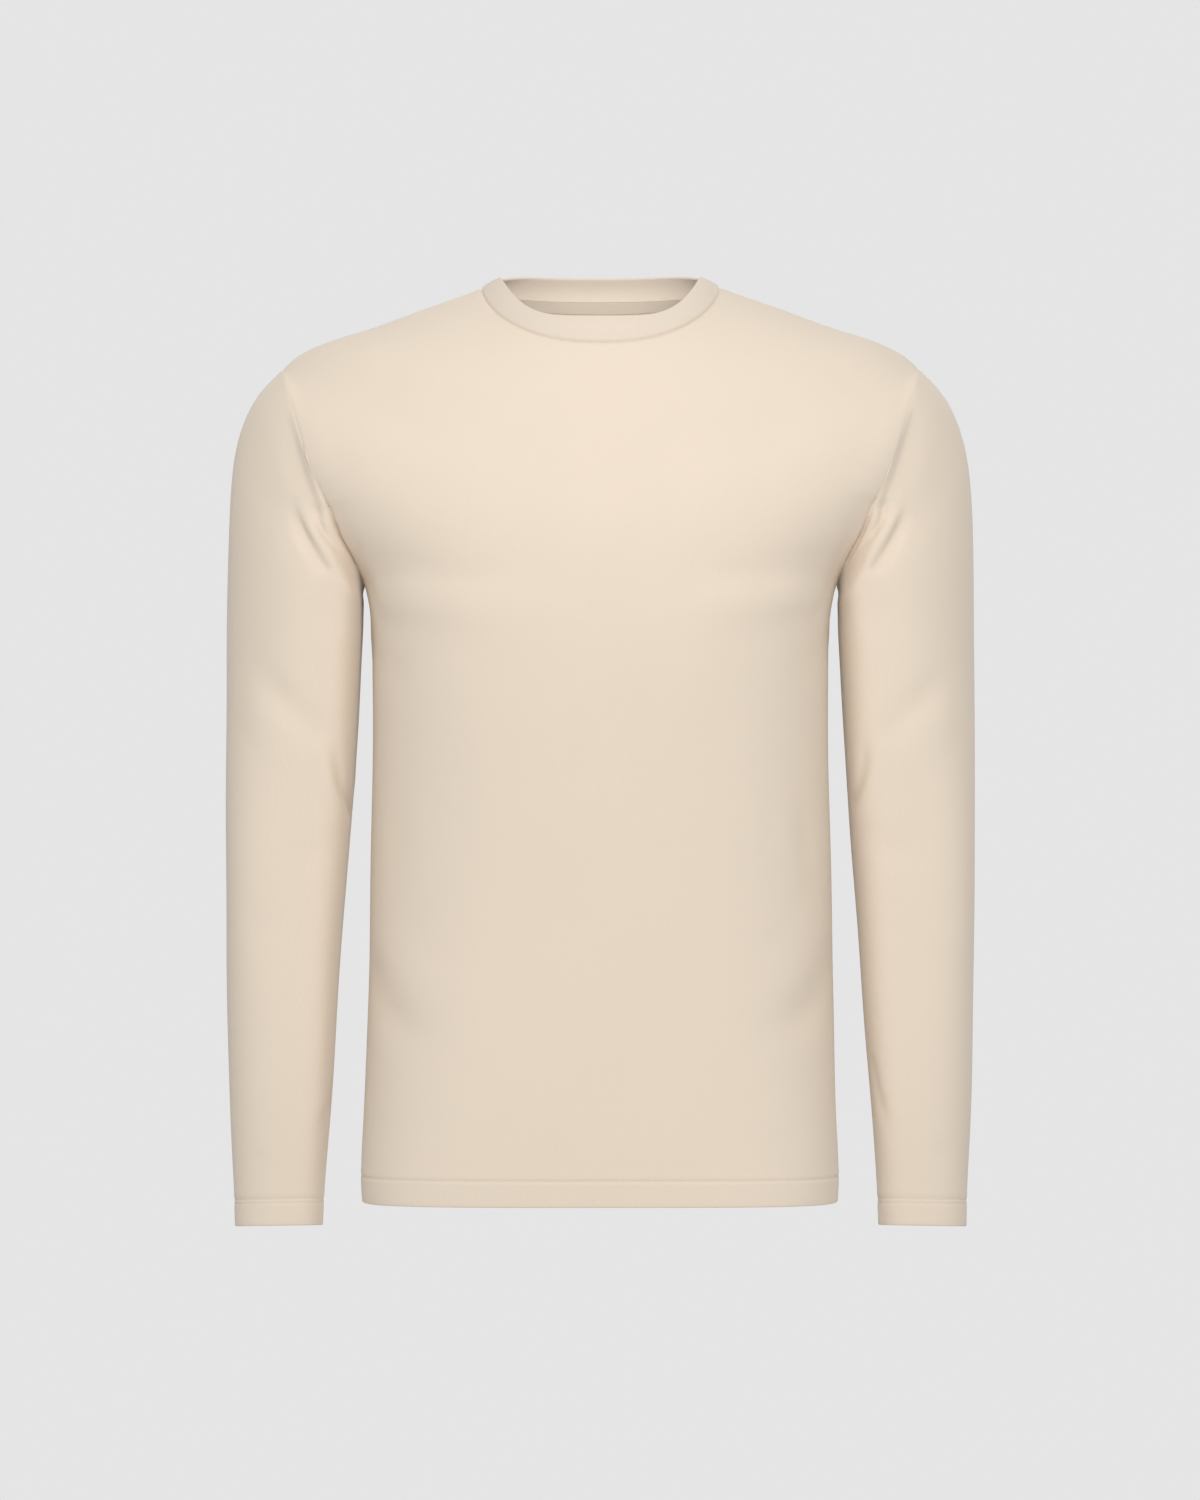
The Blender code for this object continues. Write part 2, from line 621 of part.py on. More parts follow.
def make_pieces():
    """Every piece but the tape, as sheets that share their seams' points."""
    levels = panel_levels()
    front = panel_sheet(FRONT, levels)
    back = panel_sheet(BACK, levels)
    underarm = 1 + SIDE_ROWS
    edge_rows = slice(underarm, underarm + ARMHOLE_ROWS + 1)
    left_sleeve = sleeve_sheet(front[edge_rows, -1], back[edge_rows, -1])
    right_sleeve = left_sleeve * (-1.0, 1.0, 1.0)
    collar = collar_sheet(front[-1], back[-1])
    collar_walls = [COLLAR_WALL * row.wall for row in COLLAR_ROWS]
    pieces = {
        "front": Piece(press_folds(front), False, body_axis, panel_walls(len(front))),
        "back": Piece(press_folds(back), False, body_axis, panel_walls(len(back))),
        "sleeve_left": Piece(press_folds(left_sleeve), True, row_centres,
                             sleeve_walls(len(left_sleeve))),
        "sleeve_right": Piece(press_folds(right_sleeve), True, row_centres,
                              sleeve_walls(len(right_sleeve))),
        "collar": Piece(collar, True, body_axis, collar_walls),
    }
    join_seams(list(pieces.values()))
    return pieces


def build():
    """Make the garment."""
    remove_old_objects()
    collection = bpy.data.collections.new("long_sleeve_t_shirt")
    bpy.context.scene.collection.children.link(collection)
    cloth = cloth_material("jersey", CLOTH_COLOUR)
    rib = cloth_material("rib", RIB_COLOUR)
    tape = cloth_material("tape", TAPE_COLOUR)
    pieces = make_pieces()
    for name, piece in pieces.items():
        material = rib if name == "collar" else cloth
        wall_object(name, piece.sheet, inner_sheet(piece), piece.closed, material, collection)
    near, far = tape_sheets(inner_sheet(pieces["back"]))
    wall_object("neck_tape", near, far, False, tape, collection)


build()
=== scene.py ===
"""The long-sleeve t-shirt's looks: fine cloth shells, creases, seams, stitches and materials.

The frame is the CAD part's own: metres, +Z up, the front faces -Y, the wearer's left is +X.
Tables give the outer face of the cloth for the wearer's left half; the right is its mirror.
"""
import math
from collections import namedtuple

import bpy
import numpy as np
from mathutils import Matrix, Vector


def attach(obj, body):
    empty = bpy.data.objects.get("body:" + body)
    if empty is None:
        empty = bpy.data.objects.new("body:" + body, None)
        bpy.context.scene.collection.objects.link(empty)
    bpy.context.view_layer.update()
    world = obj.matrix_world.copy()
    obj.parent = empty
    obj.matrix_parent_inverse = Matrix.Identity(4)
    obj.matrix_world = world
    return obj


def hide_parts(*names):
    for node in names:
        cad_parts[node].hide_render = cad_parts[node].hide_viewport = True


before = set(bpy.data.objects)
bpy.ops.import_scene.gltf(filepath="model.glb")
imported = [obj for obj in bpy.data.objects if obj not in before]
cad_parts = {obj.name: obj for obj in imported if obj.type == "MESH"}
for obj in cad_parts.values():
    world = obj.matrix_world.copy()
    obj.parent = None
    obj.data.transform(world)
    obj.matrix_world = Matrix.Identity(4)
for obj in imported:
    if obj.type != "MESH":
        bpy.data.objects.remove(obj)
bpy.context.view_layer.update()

# ---------- sizes, in metres
JERSEY_WALL = 0.0010
TURNED_WALL = 0.0022       # hem and cuff, turned up once
TURNED_PROUD = 0.0003      # how far a turned-up edge stands out
COLLAR_WALL = 0.0020
TAPE_WALL = 0.0009
HEM_DEPTH = 0.0200
CUFF_DEPTH = 0.0185
TWIN_GAP = 0.0029          # between the two lines of stitches on a cuff
TAPE_WIDTH = 0.0100
TAPE_DROP = 0.0001
TAPE_GAP = 0.0002
TAPE_ROWS = 6
TAPE_LINE_ROWS = 40        # the back's rows that the tape lies on, from the neck down
TAPE_END_COLUMNS = 2       # the back's columns left free at each of its ends
FOLD_ROUND = 0.0012        # how far from a folded edge the cloth starts to round over
FOLD_PINCH = 0.85
MITRE_LIMIT = 1.5
TURN_SOFTNESS = 0.0024     # over how much the doubled cloth thins out above its stitches
SHARP_ANGLE = 55.0         # degrees
FRONT, BACK = -1, 1        # the side of the garment, as a sign of Y
LEFT, RIGHT = 1, -1        # the wearer's side, as a sign of X
MIRROR = np.array([-1.0, 1.0, 1.0])

FINE = 500                 # points on a curve before it is spaced out
ROW_STEP = 0.0032          # spacing of a panel's rows
HALF_COLUMNS = 54          # points across half a panel, beside those at its edge
ARMHOLE_POINTS = 88        # points along the front or the back of an armhole
ARMHOLE_CROWDING = 1.35    # they lie closer together towards the underarm
COLUMN_CROWDING = 1.30     # the same for a panel's columns, towards its edge
# Inside the corners of a panel's edge, underarm and shoulder tip, the rows are eased: for this
# many levels around, and in full from this far in.
Corner = namedtuple("Corner", "level reach")
CORNERS = [Corner(1.0, 0.05), Corner(2.0, 0.24)]
CORNER_MARGIN = 0.016
EASING_ROUNDS = 80
EDGE_STEPS = np.array([0.0, 0.5, 1.0, 1.6, 2.3, 3.2, 4.3, 5.7, 7.5, 9.8]) * 0.001
STITCH_STEPS = np.array([-4.5, -3.0, -2.1, -1.4, -0.9, -0.45, 0.0, 0.45, 0.9, 1.4, 2.1, 3.0]) * 0.001
FOLD_STEPS = np.array([0.0, 0.15, 0.35, 0.7, 1.2]) * 0.001

# ---------- the cut's tables
def table(kind, rows):
    """A table's rows, with their values named."""
    return [kind(*row) for row in rows]


Side = namedtuple("Side", "z x")
SIDE_SEAM = table(Side, [
    (-.6968, .1809), (-.6830, .1819), (-.6370, .1811),
    (-.5750, .1790), (-.4990, .1773), (-.4300, .1759),
    (-.3500, .1744), (-.2900, .1742), (-.2550, .1749),
    (-.2360, .1774), (-.2266, .1809),
])
Edge = namedtuple("Edge", "x y z")
ARMHOLE = {
    FRONT: table(Edge, [
        (.1809, .000, -.2266), (.1832, -.024, -.2180), (.1898, -.044, -.2020),
        (.1996, -.057, -.1830), (.2064, -.063, -.1650), (.2155, -.063, -.1440),
        (.2253, -.057, -.1177), (.2350, -.043, -.0890), (.2412, -.022, -.0690),
        (.2438, .008, -.0595),
    ]),
    BACK: table(Edge, [
        (.1809, .000, -.2266), (.1838, .026, -.2185), (.1900, .050, -.2040),
        (.2000, .066, -.1850), (.2115, .074, -.1640), (.2225, .075, -.1400),
        (.2320, .069, -.1130), (.2385, .055, -.0870), (.2425, .036, -.0690),
        (.2438, .008, -.0595),
    ]),
}
SHOULDER_SEAM = table(Edge, [
    (.2438, .008, -.0595), (.2345, .008, -.0502), (.2210, .008, -.0432),
    (.2060, .007, -.0371), (.1870, .006, -.0315), (.1600, .004, -.0224),
    (.1336, .002, -.0128), (.1100, .001, -.0046), (.0915, .000, .0020),
])
Centre = namedtuple("Centre", "z y")
CENTRE_LINE = {
    FRONT: table(Centre, [
        (-.6926, -.1150), (-.6200, -.1125), (-.5300, -.1105),
        (-.4300, -.1120), (-.3300, -.1190), (-.2500, -.1255),
        (-.1900, -.1235), (-.1300, -.1115), (-.0800, -.0940),
        (-.0470, -.0800),
    ]),
    BACK: table(Centre, [
        (-.7000, .1170), (-.6300, .1140), (-.5400, .1035),
        (-.4400, .0970), (-.3400, .1020), (-.2400, .1130),
        (-.1500, .1165), (-.0800, .1030), (-.0320, .0820),
        (-.0020, .0660),
    ]),
}
Level = namedtuple("Level", "level front_z back_z edge_line_y squareness drop")
LEVELS = table(Level, [
    (.00, -.6926, -.7000, .000, 4.00, .5),
    (.25, -.5812, -.5860, .000, 3.00, 1.2),
    (.50, -.4700, -.4720, .000, 2.50, 2.0),
    (1.00, -.2480, -.2440, .000, 2.45, 2.0),
    (1.25, -.2190, -.2100, .010, 2.20, 2.0),
    (1.50, -.1900, -.1760, .018, 2.00, 2.1),
    (1.75, -.1600, -.1410, .018, 1.80, 2.3),
    (2.00, -.1290, -.1060, .008, 1.65, 2.5),
    (2.50, -.0860, -.0510, .004, 1.85, 2.0),
    (3.00, -.0470, -.0020, .000, 2.25, 1.15),
])
Ring = namedtuple("Ring", "outer_x outer_z inner_x inner_z line_y front back "
                          "outer_square inner_square lean rise")
SLEEVE_RINGS = table(Ring, [
    (.2438, -.0595, .1809, -.2266, .004, .0640, .0690, 1.95, 1.95, .20, .00),
    (.2607, -.0770, .1820, -.2290, .004, .0640, .0700, 1.90, 2.05, .30, .00),
    (.2730, -.0991, .1829, -.2330, .004, .0650, .0700, 1.85, 2.40, .38, .00),
    (.2806, -.1260, .1828, -.2385, .004, .0660, .0690, 1.80, 2.80, .38, .00),
    (.2842, -.1560, .1829, -.2460, .004, .0660, .0670, 1.75, 2.90, .30, .00),
    (.2862, -.2000, .1833, -.2600, .004, .0645, .0640, 1.78, 3.20, .22, .00),
    (.2874, -.2600, .1846, -.2840, .004, .0615, .0610, 1.85, 3.30, .18, .00),
    (.2876, -.3300, .1872, -.3360, .003, .0575, .0575, 2.15, 3.30, .16, .01),
    (.2874, -.4060, .1920, -.4080, .001, .0530, .0540, 2.85, 3.30, .10, .04),
    (.2860, -.4900, .1982, -.4900, -.005, .0480, .0490, 2.85, 3.20, .08, .08),
    (.2838, -.5750, .2033, -.5750, -.014, .0430, .0430, 2.50, 3.20, .08, .10),
    (.2810, -.6500, .2082, -.6490, -.023, .0370, .0370, 2.40, 3.00, .06, .10),
    (.2788, -.7000, .2112, -.6990, -.029, .0325, .0320, 2.40, 2.70, .05, .10),
    (.2784, -.7150, .2118, -.7140, -.031, .0315, .0310, 2.40, 2.70, .05, .10),
])
SLEEVE_EASE = 0.090        # from here down the sleeve, the rings no longer follow the armhole
# How far apart the rings lie along a sleeve's outer side, closer together where it creases.
Stretch = namedtuple("Stretch", "end step")
RING_STRETCHES = table(Stretch, [
    (.040, .0030), (.170, .0019), (.240, .0034),
    (.370, .0026), (.535, .0042), (.610, .0028),
])
CUFF_STEP = 0.0034
BACK_LEAN = 0.5            # the back of a ring leans this share of what its front does
COLLAR_TOP_FRONT = Edge(0.0, -0.0720, -0.0250)
COLLAR_TOP_SIDE = Edge(0.0768, 0.0, 0.0105)
COLLAR_TOP_BACK = Edge(0.0, 0.0600, 0.0160)
COLLAR_TOP_SQUARENESS = 2.35
COLLAR_FRONT_CLIMB = 4.4   # how late the top edge rises from its middle to its side
COLLAR_BACK_CLIMB = 8.0
COLLAR_BULGE = 0.0021
COLLAR_MIDDLE_ROWS = 9

# ---------- creases
# Each crease is a soft trough (depth above 0) or ridge (below 0) in the front or the back of the
# cloth, along a curve through three points seen from there. head and tail are its strength at
# its ends, and lip is the share of its depth that stands up beside it: on its right as it runs,
# seen from outside, or on its left below 0. skirt is how many times wider it is on its right
# (or, below 0, its left) than on its other side.
Crease = namedtuple("Crease", "side x1 z1 x2 z2 x3 z3 width depth head tail lip skirt",
                    defaults=(0.0, 1.0))
BOTH = 0
SLEEVE_FRONT_CREASES = table(Crease, [
    # out of the armpit, measured on each side
    (RIGHT, .2330, -.1640, .2255, -.1864, .2085, -.2143, .0036, .0044, .1, .6, -.20, 1.9),
    (LEFT, .2320, -.1650, .2245, -.1870, .2075, -.2140, .0036, .0042, .1, .6, .20, -1.9),
    (BOTH, .2142, -.1680, .2104, -.1808, .1988, -.1965, .0030, .0044, .6, .3, .00, -1.4),
    # a trough beside the armhole's seam
    (BOTH, .2376, -.1000, .2240, -.1440, .2128, -.1700, .0044, .0027, .3, .8, .00, -3.4),
    (BOTH, .2410, -.1789, .2350, -.1945, .2260, -.2128, .0060, .0005, .4, .4),
    # the valley along the seam into the armpit
    (RIGHT, .2060, -.1620, .1972, -.1860, .1865, -.2090, .0024, .0027, .2, .6),
    (LEFT, .2055, -.1630, .1974, -.1855, .1865, -.2090, .0024, .0026, .2, .6),
    (BOTH, .1990, -.2180, .2040, -.2450, .2050, -.2780, .0110, .0014, .6, .0),
    # the broad fold across the upper arm and the crease inside the elbow
    (RIGHT, .2620, -.2900, .2400, -.3140, .2171, -.3374, .0120, .0026, .2, .6, .30),
    (LEFT, .2610, -.2950, .2400, -.3180, .2208, -.3374, .0120, .0024, .2, .6, -.30),
    (RIGHT, .2030, -.3400, .1980, -.3680, .1912, -.3986, .0060, .0028, .2, .8, .25),
    (LEFT, .2020, -.3400, .1985, -.3650, .1925, -.3918, .0060, .0026, .2, .8, -.25),
    (BOTH, .2020, -.4160, .2220, -.4290, .2480, -.4350, .0110, .0009, .6, .0),
    (BOTH, .2560, -.4560, .2620, -.4760, .2640, -.5000, .0120, .0007, .0, .0),
    # the wrist
    (RIGHT, .2042, -.6105, .2080, -.6260, .2150, -.6440, .0055, .0016, .7, .2, .20),
    (LEFT, .2065, -.5900, .2105, -.6160, .2190, -.6420, .0060, .0016, .7, .2, .20),
    (BOTH, .2500, -.6480, .2600, -.6580, .2700, -.6640, .0080, .0007, .0, .5),
])
BODY_FRONT_CREASES = table(Crease, [
    # a ridge beside the armhole's seam
    (BOTH, .2322, -.0960, .2197, -.1300, .2092, -.1620, .0036, -.0027, .3, .7, .00, 6.0),
    # beside the armhole, under the arm, below the chest, over the hip
    (BOTH, .1960, -.1700, .1800, -.2080, .1640, -.2480, .0085, .0011, .1, .9, .20),
    (BOTH, .1500, -.2310, .1050, -.2440, .0500, -.2430, .0200, -.0023, .4, .1),
    (BOTH, .1660, -.2380, .1440, -.2400, .1140, -.2410, .0120, -.0023, .5, .2, .00, 2.4),
    (BOTH, .1720, -.2700, .1580, -.2860, .1330, -.2940, .0140, .0012, .8, .0),
    (BOTH, .1712, -.5180, .1560, -.5490, .1220, -.5650, .0165, .0032, .8, .2, .40),
    (LEFT, .1486, -.3771, .1550, -.4180, .1583, -.4568, .0100, .0013, .1, .3, .40),
    (RIGHT, .1500, -.4600, .1540, -.4200, .1550, -.3800, .0130, .0006, .2, .2),
])
SLEEVE_BACK_CREASES = table(Crease, [
    # a trough beside the armhole's seam
    (BOTH, .2410, -.1000, .2300, -.1400, .2175, -.1720, .0044, .0022, .3, .7, .00, 2.5),
    # out of the armpit, inside the elbow and at the wrist
    (BOTH, .2350, -.1680, .2230, -.1960, .2040, -.2220, .0060, .0038, .3, .7, .35),
    (BOTH, .2500, -.1780, .2400, -.2060, .2240, -.2340, .0080, .0022, .3, .4),
    (BOTH, .2160, -.1720, .2080, -.1880, .1960, -.2040, .0050, .0026, .4, .8, .30),
    (BOTH, .2020, -.2500, .2260, -.2760, .2560, -.3000, .0120, .0018, .8, .1, .30),
    (LEFT, .1940, -.3520, .2120, -.3720, .2420, -.3860, .0090, .0030, .9, .2, .35),
    (RIGHT, .1940, -.3580, .2140, -.3740, .2380, -.3940, .0100, .0027, .9, .1, .35),
    (BOTH, .2000, -.3900, .2220, -.4040, .2520, -.4100, .0085, .0020, .8, .0, .20),
    (BOTH, .2120, -.5200, .2360, -.5400, .2620, -.5560, .0110, .0012, .7, .2),
    (BOTH, .2150, -.6300, .2360, -.6430, .2620, -.6450, .0080, .0012, .8, .1, .20),
])
BODY_BACK_CREASES = table(Crease, [
    # out of the armpit, over the waist, between the shoulder blades
    (BOTH, .1770, -.2360, .1560, -.2700, .1180, -.3120, .0120, .0032, .8, .1, .35),
    (BOTH, .1900, -.2160, .1600, -.2380, .1250, -.2680, .0110, .0020, .7, .1, .20),
    (LEFT, .1680, -.3960, .1250, -.4240, .0620, -.4360, .0130, .0026, .7, .1, .40),
    (RIGHT, .1680, -.4080, .1200, -.4300, .0500, -.4330, .0140, .0024, .7, .1, .40),
    (BOTH, .1660, -.4400, .1420, -.4600, .0960, -.4660, .0110, .0018, .7, .1, .20),
    (BOTH, .1650, -.3460, .1380, -.3720, .0960, -.3820, .0120, .0014, .7, .0),
    (LEFT, -.0500, -.4860, -.0100, -.4960, .0400, -.4840, .0140, .0012, .2, .2, .30),
    (LEFT, .0340, -.1000, .0380, -.1500, .0340, -.2000, .0200, .0008, .2, .2),
])
CREASES = [
    ("sleeve", FRONT, SLEEVE_FRONT_CREASES),
    ("body", FRONT, BODY_FRONT_CREASES),
    ("sleeve", BACK, SLEEVE_BACK_CREASES),
    ("body", BACK, BODY_BACK_CREASES),
]
RIGHT_LOWER = 0.004        # the right side's mirrored creases lie this much lower
RIGHT_SHARE = 0.88         # and are this deep beside the left side's
CREASE_POINTS = 15
CREASE_REACH = 3.4         # widths beyond which a crease isn't felt
CREASE_NEIGHBOURS = 4      # points of the cloth that each point of a crease is laid on
SMALLEST_GAP = 0.0003      # added to how far off they are, for their weights
CREASE_FACING = 0.02       # how squarely they face forward or backward, at least
SAME_WAY = 0.6             # cloth that faces more alike than this feels a crease in full
LIP_OFF = 2.0              # widths from a crease to its lip
LIP_SPREAD = 1.2           # a lip's width, in widths of its crease

# Slow unevenness of all the cloth: its size, and its turns for each metre along X, Y and Z.
Swell = namedtuple("Swell", "size x y z start")
SWELLS = table(Swell, [
    (.00040, 1.6, .9, 2.3, .4),
    (.00030, -2.9, 2.1, 1.7, 2.1),
    (.00022, 3.7, -2.6, 4.1, 4.0),
    (.00014, -5.9, 4.3, 6.7, 1.2),
])

# A seam's groove, and how high and how far off its two raised lips are.
GROOVE_WIDTH = 0.0011
LIP_START = 0.0012
Lip = namedtuple("Lip", "height off width")
Seam = namedtuple("Seam", "groove body_lip sleeve_lip collar_lip")
NO_LIP = Lip(0.0, 0.004, 0.002)
PLAIN_LIP = Lip(0.0002, 0.0032, 0.0016)
PLAIN_SEAM = Seam(0.0005, PLAIN_LIP, PLAIN_LIP, NO_LIP)
ARMHOLE_SEAM = Seam(0.0002, Lip(0.0001, 0.0034, 0.0018), NO_LIP, NO_LIP)
NECK_SEAM = Seam(0.0008, Lip(0.0004, 0.0036, 0.0020), NO_LIP, Lip(0.0003, 0.0030, 0.0018))
SEAM_REACH = 0.015         # how far from a seam its groove and lips are looked for
STITCH_GROOVE = 0.0005
STITCH_GROOVE_WIDTH = 0.0011
EDGE_BAND = 0.0003         # the raised band just above a line of stitches
EDGE_BAND_OFF = 0.0032
EDGE_BAND_WIDTH = 0.0019
# A turned-up edge: how deep it is, and where its lines of stitches lie from that depth.
Turned = namedtuple("Turned", "depth lines")
TURNED = {
    "body": Turned(HEM_DEPTH, (0.0,)),
    "sleeve": Turned(CUFF_DEPTH, (-TWIN_GAP / 2, TWIN_GAP / 2)),
}

STITCH_PITCH = 0.0031
STITCH_LENGTH = 0.0025
STITCH_RADIUS = 0.00026
STITCH_SINK = 0.00002
STITCH_SIDES = 6
# Along a stitch: how far from its middle (in half lengths), and how thick it is there.
STITCH_PROFILE = [(-1.0, 0.35), (-0.8, 0.85), (0.0, 1.0), (0.8, 0.85), (1.0, 0.35)]


# ---------- curves
def spline(knots, values, places):
    """Read a natural cubic spline through rows of values at the given places."""
    knots = np.asarray(knots, float)
    values = np.asarray(values, float)
    places = np.clip(np.asarray(places, float), knots[0], knots[-1])
    steps = np.diff(knots)
    slopes = np.diff(values, axis=0) / steps[:, None]
    system = np.eye(len(knots))
    target = np.zeros_like(values)
    for i in range(1, len(knots) - 1):
        system[i, i - 1:i + 2] = (steps[i - 1], 2 * (steps[i - 1] + steps[i]), steps[i])
        target[i] = 6 * (slopes[i] - slopes[i - 1])
    bends = np.linalg.solve(system, target)
    cell = np.clip(np.searchsorted(knots, places, side="right") - 1, 0, len(steps) - 1)
    step = steps[cell][:, None]
    ahead = (places - knots[cell])[:, None]
    behind = step - ahead
    start, end = values[cell], values[cell + 1]
    start_bend, end_bend = bends[cell], bends[cell + 1]
    curve = (start_bend * behind ** 3 + end_bend * ahead ** 3) / (6 * step)
    curve += (start / step - start_bend * step / 6) * behind
    curve += (end / step - end_bend * step / 6) * ahead
    return curve


def lengths_along(points):
    """Distance along a list of points, starting at 0."""
    return np.concatenate([[0.0], np.cumsum(np.linalg.norm(np.diff(points, axis=0), axis=1))])


def between(places, knots, rows):
    """Rows read at the given places, straight from one knot to the next."""
    return np.stack([np.interp(places, knots, column) for column in rows.T], axis=-1)


def at_distances(points, distances):
    """Points at the given distances along a polyline."""
    return between(distances, lengths_along(points), points)


def at_fractions(points, fractions):
    """Points at the given fractions of a polyline's length."""
    return at_distances(points, np.asarray(fractions, float) * lengths_along(points)[-1])


def through(rows):
    """Fine points of the smooth curve through a table's rows."""
    points = np.array(rows, float)
    knots = lengths_along(points)
    return spline(knots, points, np.linspace(0.0, knots[-1], FINE))


def spaced(start, end, step):
    """Evenly spaced places from start up to, and without, end."""
    count = max(1, round((end - start) / step))
    return np.linspace(start, end, count, endpoint=False)


def eased(share):
    """A smooth step from 0 to 1."""
    share = np.clip(share, 0.0, 1.0)
    return share * share * (3.0 - 2.0 * share)


def bell(off, width):
    """A smooth bump: 1 where off is 0, and almost nothing two widths away."""
    return np.exp(-(off / width) ** 2)


def unit(vectors):
    """Vectors scaled to a length of 1."""
    return vectors / np.linalg.norm(vectors, axis=-1, keepdims=True)


# ---------- front and back panels
SIDE_LENGTH = SIDE_SEAM[-1].z - SIDE_SEAM[0].z
SHOULDER_LENGTH = lengths_along(through(SHOULDER_SEAM))[-1]


def armhole_fractions():
    """Where each point of an armhole's front or back is, from the underarm to the shoulder."""
    return np.linspace(0.0, 1.0, ARMHOLE_POINTS + 1) ** ARMHOLE_CROWDING


def panel_levels():
    """The levels of a panel's rows: 0 hem, 1 underarm, 2 shoulder tip, 3 neck."""
    line_start = HEM_DEPTH + STITCH_STEPS[0]
    line_end = HEM_DEPTH + STITCH_STEPS[-1]
    side = np.concatenate([
        FOLD_STEPS[:-1],
        spaced(FOLD_STEPS[-1], line_start, ROW_STEP),
        HEM_DEPTH + STITCH_STEPS[:-1],
        spaced(line_end, SIDE_LENGTH, ROW_STEP),
    ]) / SIDE_LENGTH
    armhole = 1.0 + armhole_fractions()[:-1]
    shoulder_end = SHOULDER_LENGTH - EDGE_STEPS[-1]
    shoulder = np.concatenate([
        spaced(0.0, shoulder_end, ROW_STEP),
        SHOULDER_LENGTH - EDGE_STEPS[::-1],
    ]) / SHOULDER_LENGTH
    return np.concatenate([side, armhole, 2.0 + shoulder])


def panel_edges(face, levels):
    """A panel's edge at each level: side seam, then armhole, then shoulder seam."""
    edges = np.zeros((len(levels), 3))
    on_side = levels <= 1.0
    on_shoulder = levels > 2.0
    on_armhole = ~on_side & ~on_shoulder
    heights = SIDE_SEAM[0].z + SIDE_LENGTH * levels[on_side]
    widths = spline([row.z for row in SIDE_SEAM], [[row.x] for row in SIDE_SEAM], heights)
    edges[on_side, 0] = widths[:, 0]
    edges[on_side, 2] = heights
    edges[on_armhole] = at_fractions(through(ARMHOLE[face]), levels[on_armhole] - 1.0)
    edges[on_shoulder] = at_fractions(through(SHOULDER_SEAM), levels[on_shoulder] - 2.0)
    return edges


def panel_row(face, edge, level_row):
    """One row of a panel's left half, from the centre line to its edge."""
    front_z, back_z, edge_line_y, squareness, drop = level_row
    centre_z = front_z if face == FRONT else back_z
    line = CENTRE_LINE[face]
    centre_y = spline([row.z for row in line], [[row.y] for row in line], [centre_z])[0, 0]
    reach = centre_y - edge_line_y
    share = np.clip((edge[1] - edge_line_y) / reach, 0.0, 1.0)
    turn = np.linspace(0.0, np.arccos(share ** (squareness / 2)), FINE)
    across = np.sin(turn) ** (2 / squareness)
    climb = 1.0 - np.cos(turn) ** drop
    points = np.stack([
        edge[0] * across / across[-1],
        edge_line_y + reach * np.cos(turn) ** (2 / squareness),
        centre_z + (edge[2] - centre_z) * climb / climb[-1],
    ], axis=1)
    points[-1] = edge
    length = lengths_along(points)[-1]
    inner = 1.0 - np.linspace(1.0, 0.0, HALF_COLUMNS + 1) ** COLUMN_CROWDING
    inner *= length - EDGE_STEPS[-1]
    row = at_distances(points, np.concatenate([inner, length - EDGE_STEPS[-2::-1]]))
    row[-1] = edge
    return row


def ease_corners(sheet, levels):
    """Ease a panel's rows inside its corners, where the edge turns them sharply."""
    near = np.zeros(len(levels))
    for corner in CORNERS:
        near = np.maximum(near, bell(levels - corner.level, corner.reach))
    inside = np.linalg.norm(sheet - sheet[:, :1], axis=2)
    inside = np.minimum(inside, inside[:, ::-1])
    share = 0.5 * near[:, None] * np.clip(inside / CORNER_MARGIN, 0.0, 1.0)
    for _ in range(EASING_ROUNDS):
        middle = (sheet[:-2] + sheet[2:]) / 2
        sheet[1:-1] += share[1:-1, :, None] * (middle - sheet[1:-1])
    return sheet


def panel_sheet(face, levels):
    """The outer points of a panel: a row a level, from the right edge to the left."""
    edges = panel_edges(face, levels)
    level_rows = spline([row.level for row in LEVELS], [row[1:] for row in LEVELS], levels)
    rows = []
    for edge, level_row in zip(edges, level_rows):
        left = panel_row(face, edge, level_row)
        rows.append(np.concatenate([left[:0:-1] * MIRROR, left]))
    return ease_corners(np.array(rows), levels)


# ---------- sleeves
RING_KNOTS = lengths_along(np.array([(row.outer_x, row.outer_z) for row in SLEEVE_RINGS]))
SLEEVE_LENGTH = RING_KNOTS[-1]


def sleeve_distances():
    """How far down the sleeve each of its rings is, along its outer side."""
    line = SLEEVE_LENGTH - CUFF_DEPTH
    distances = [EDGE_STEPS[:-1]]
    start = EDGE_STEPS[-1]
    for stretch in RING_STRETCHES:
        distances.append(spaced(start, stretch.end, stretch.step))
        start = stretch.end
    return np.concatenate(distances + [
        spaced(start, line - STITCH_STEPS[-1], CUFF_STEP),
        line - STITCH_STEPS[:0:-1],
        spaced(line - STITCH_STEPS[0], SLEEVE_LENGTH - FOLD_STEPS[-1], CUFF_STEP),
        SLEEVE_LENGTH - FOLD_STEPS[::-1],
    ])


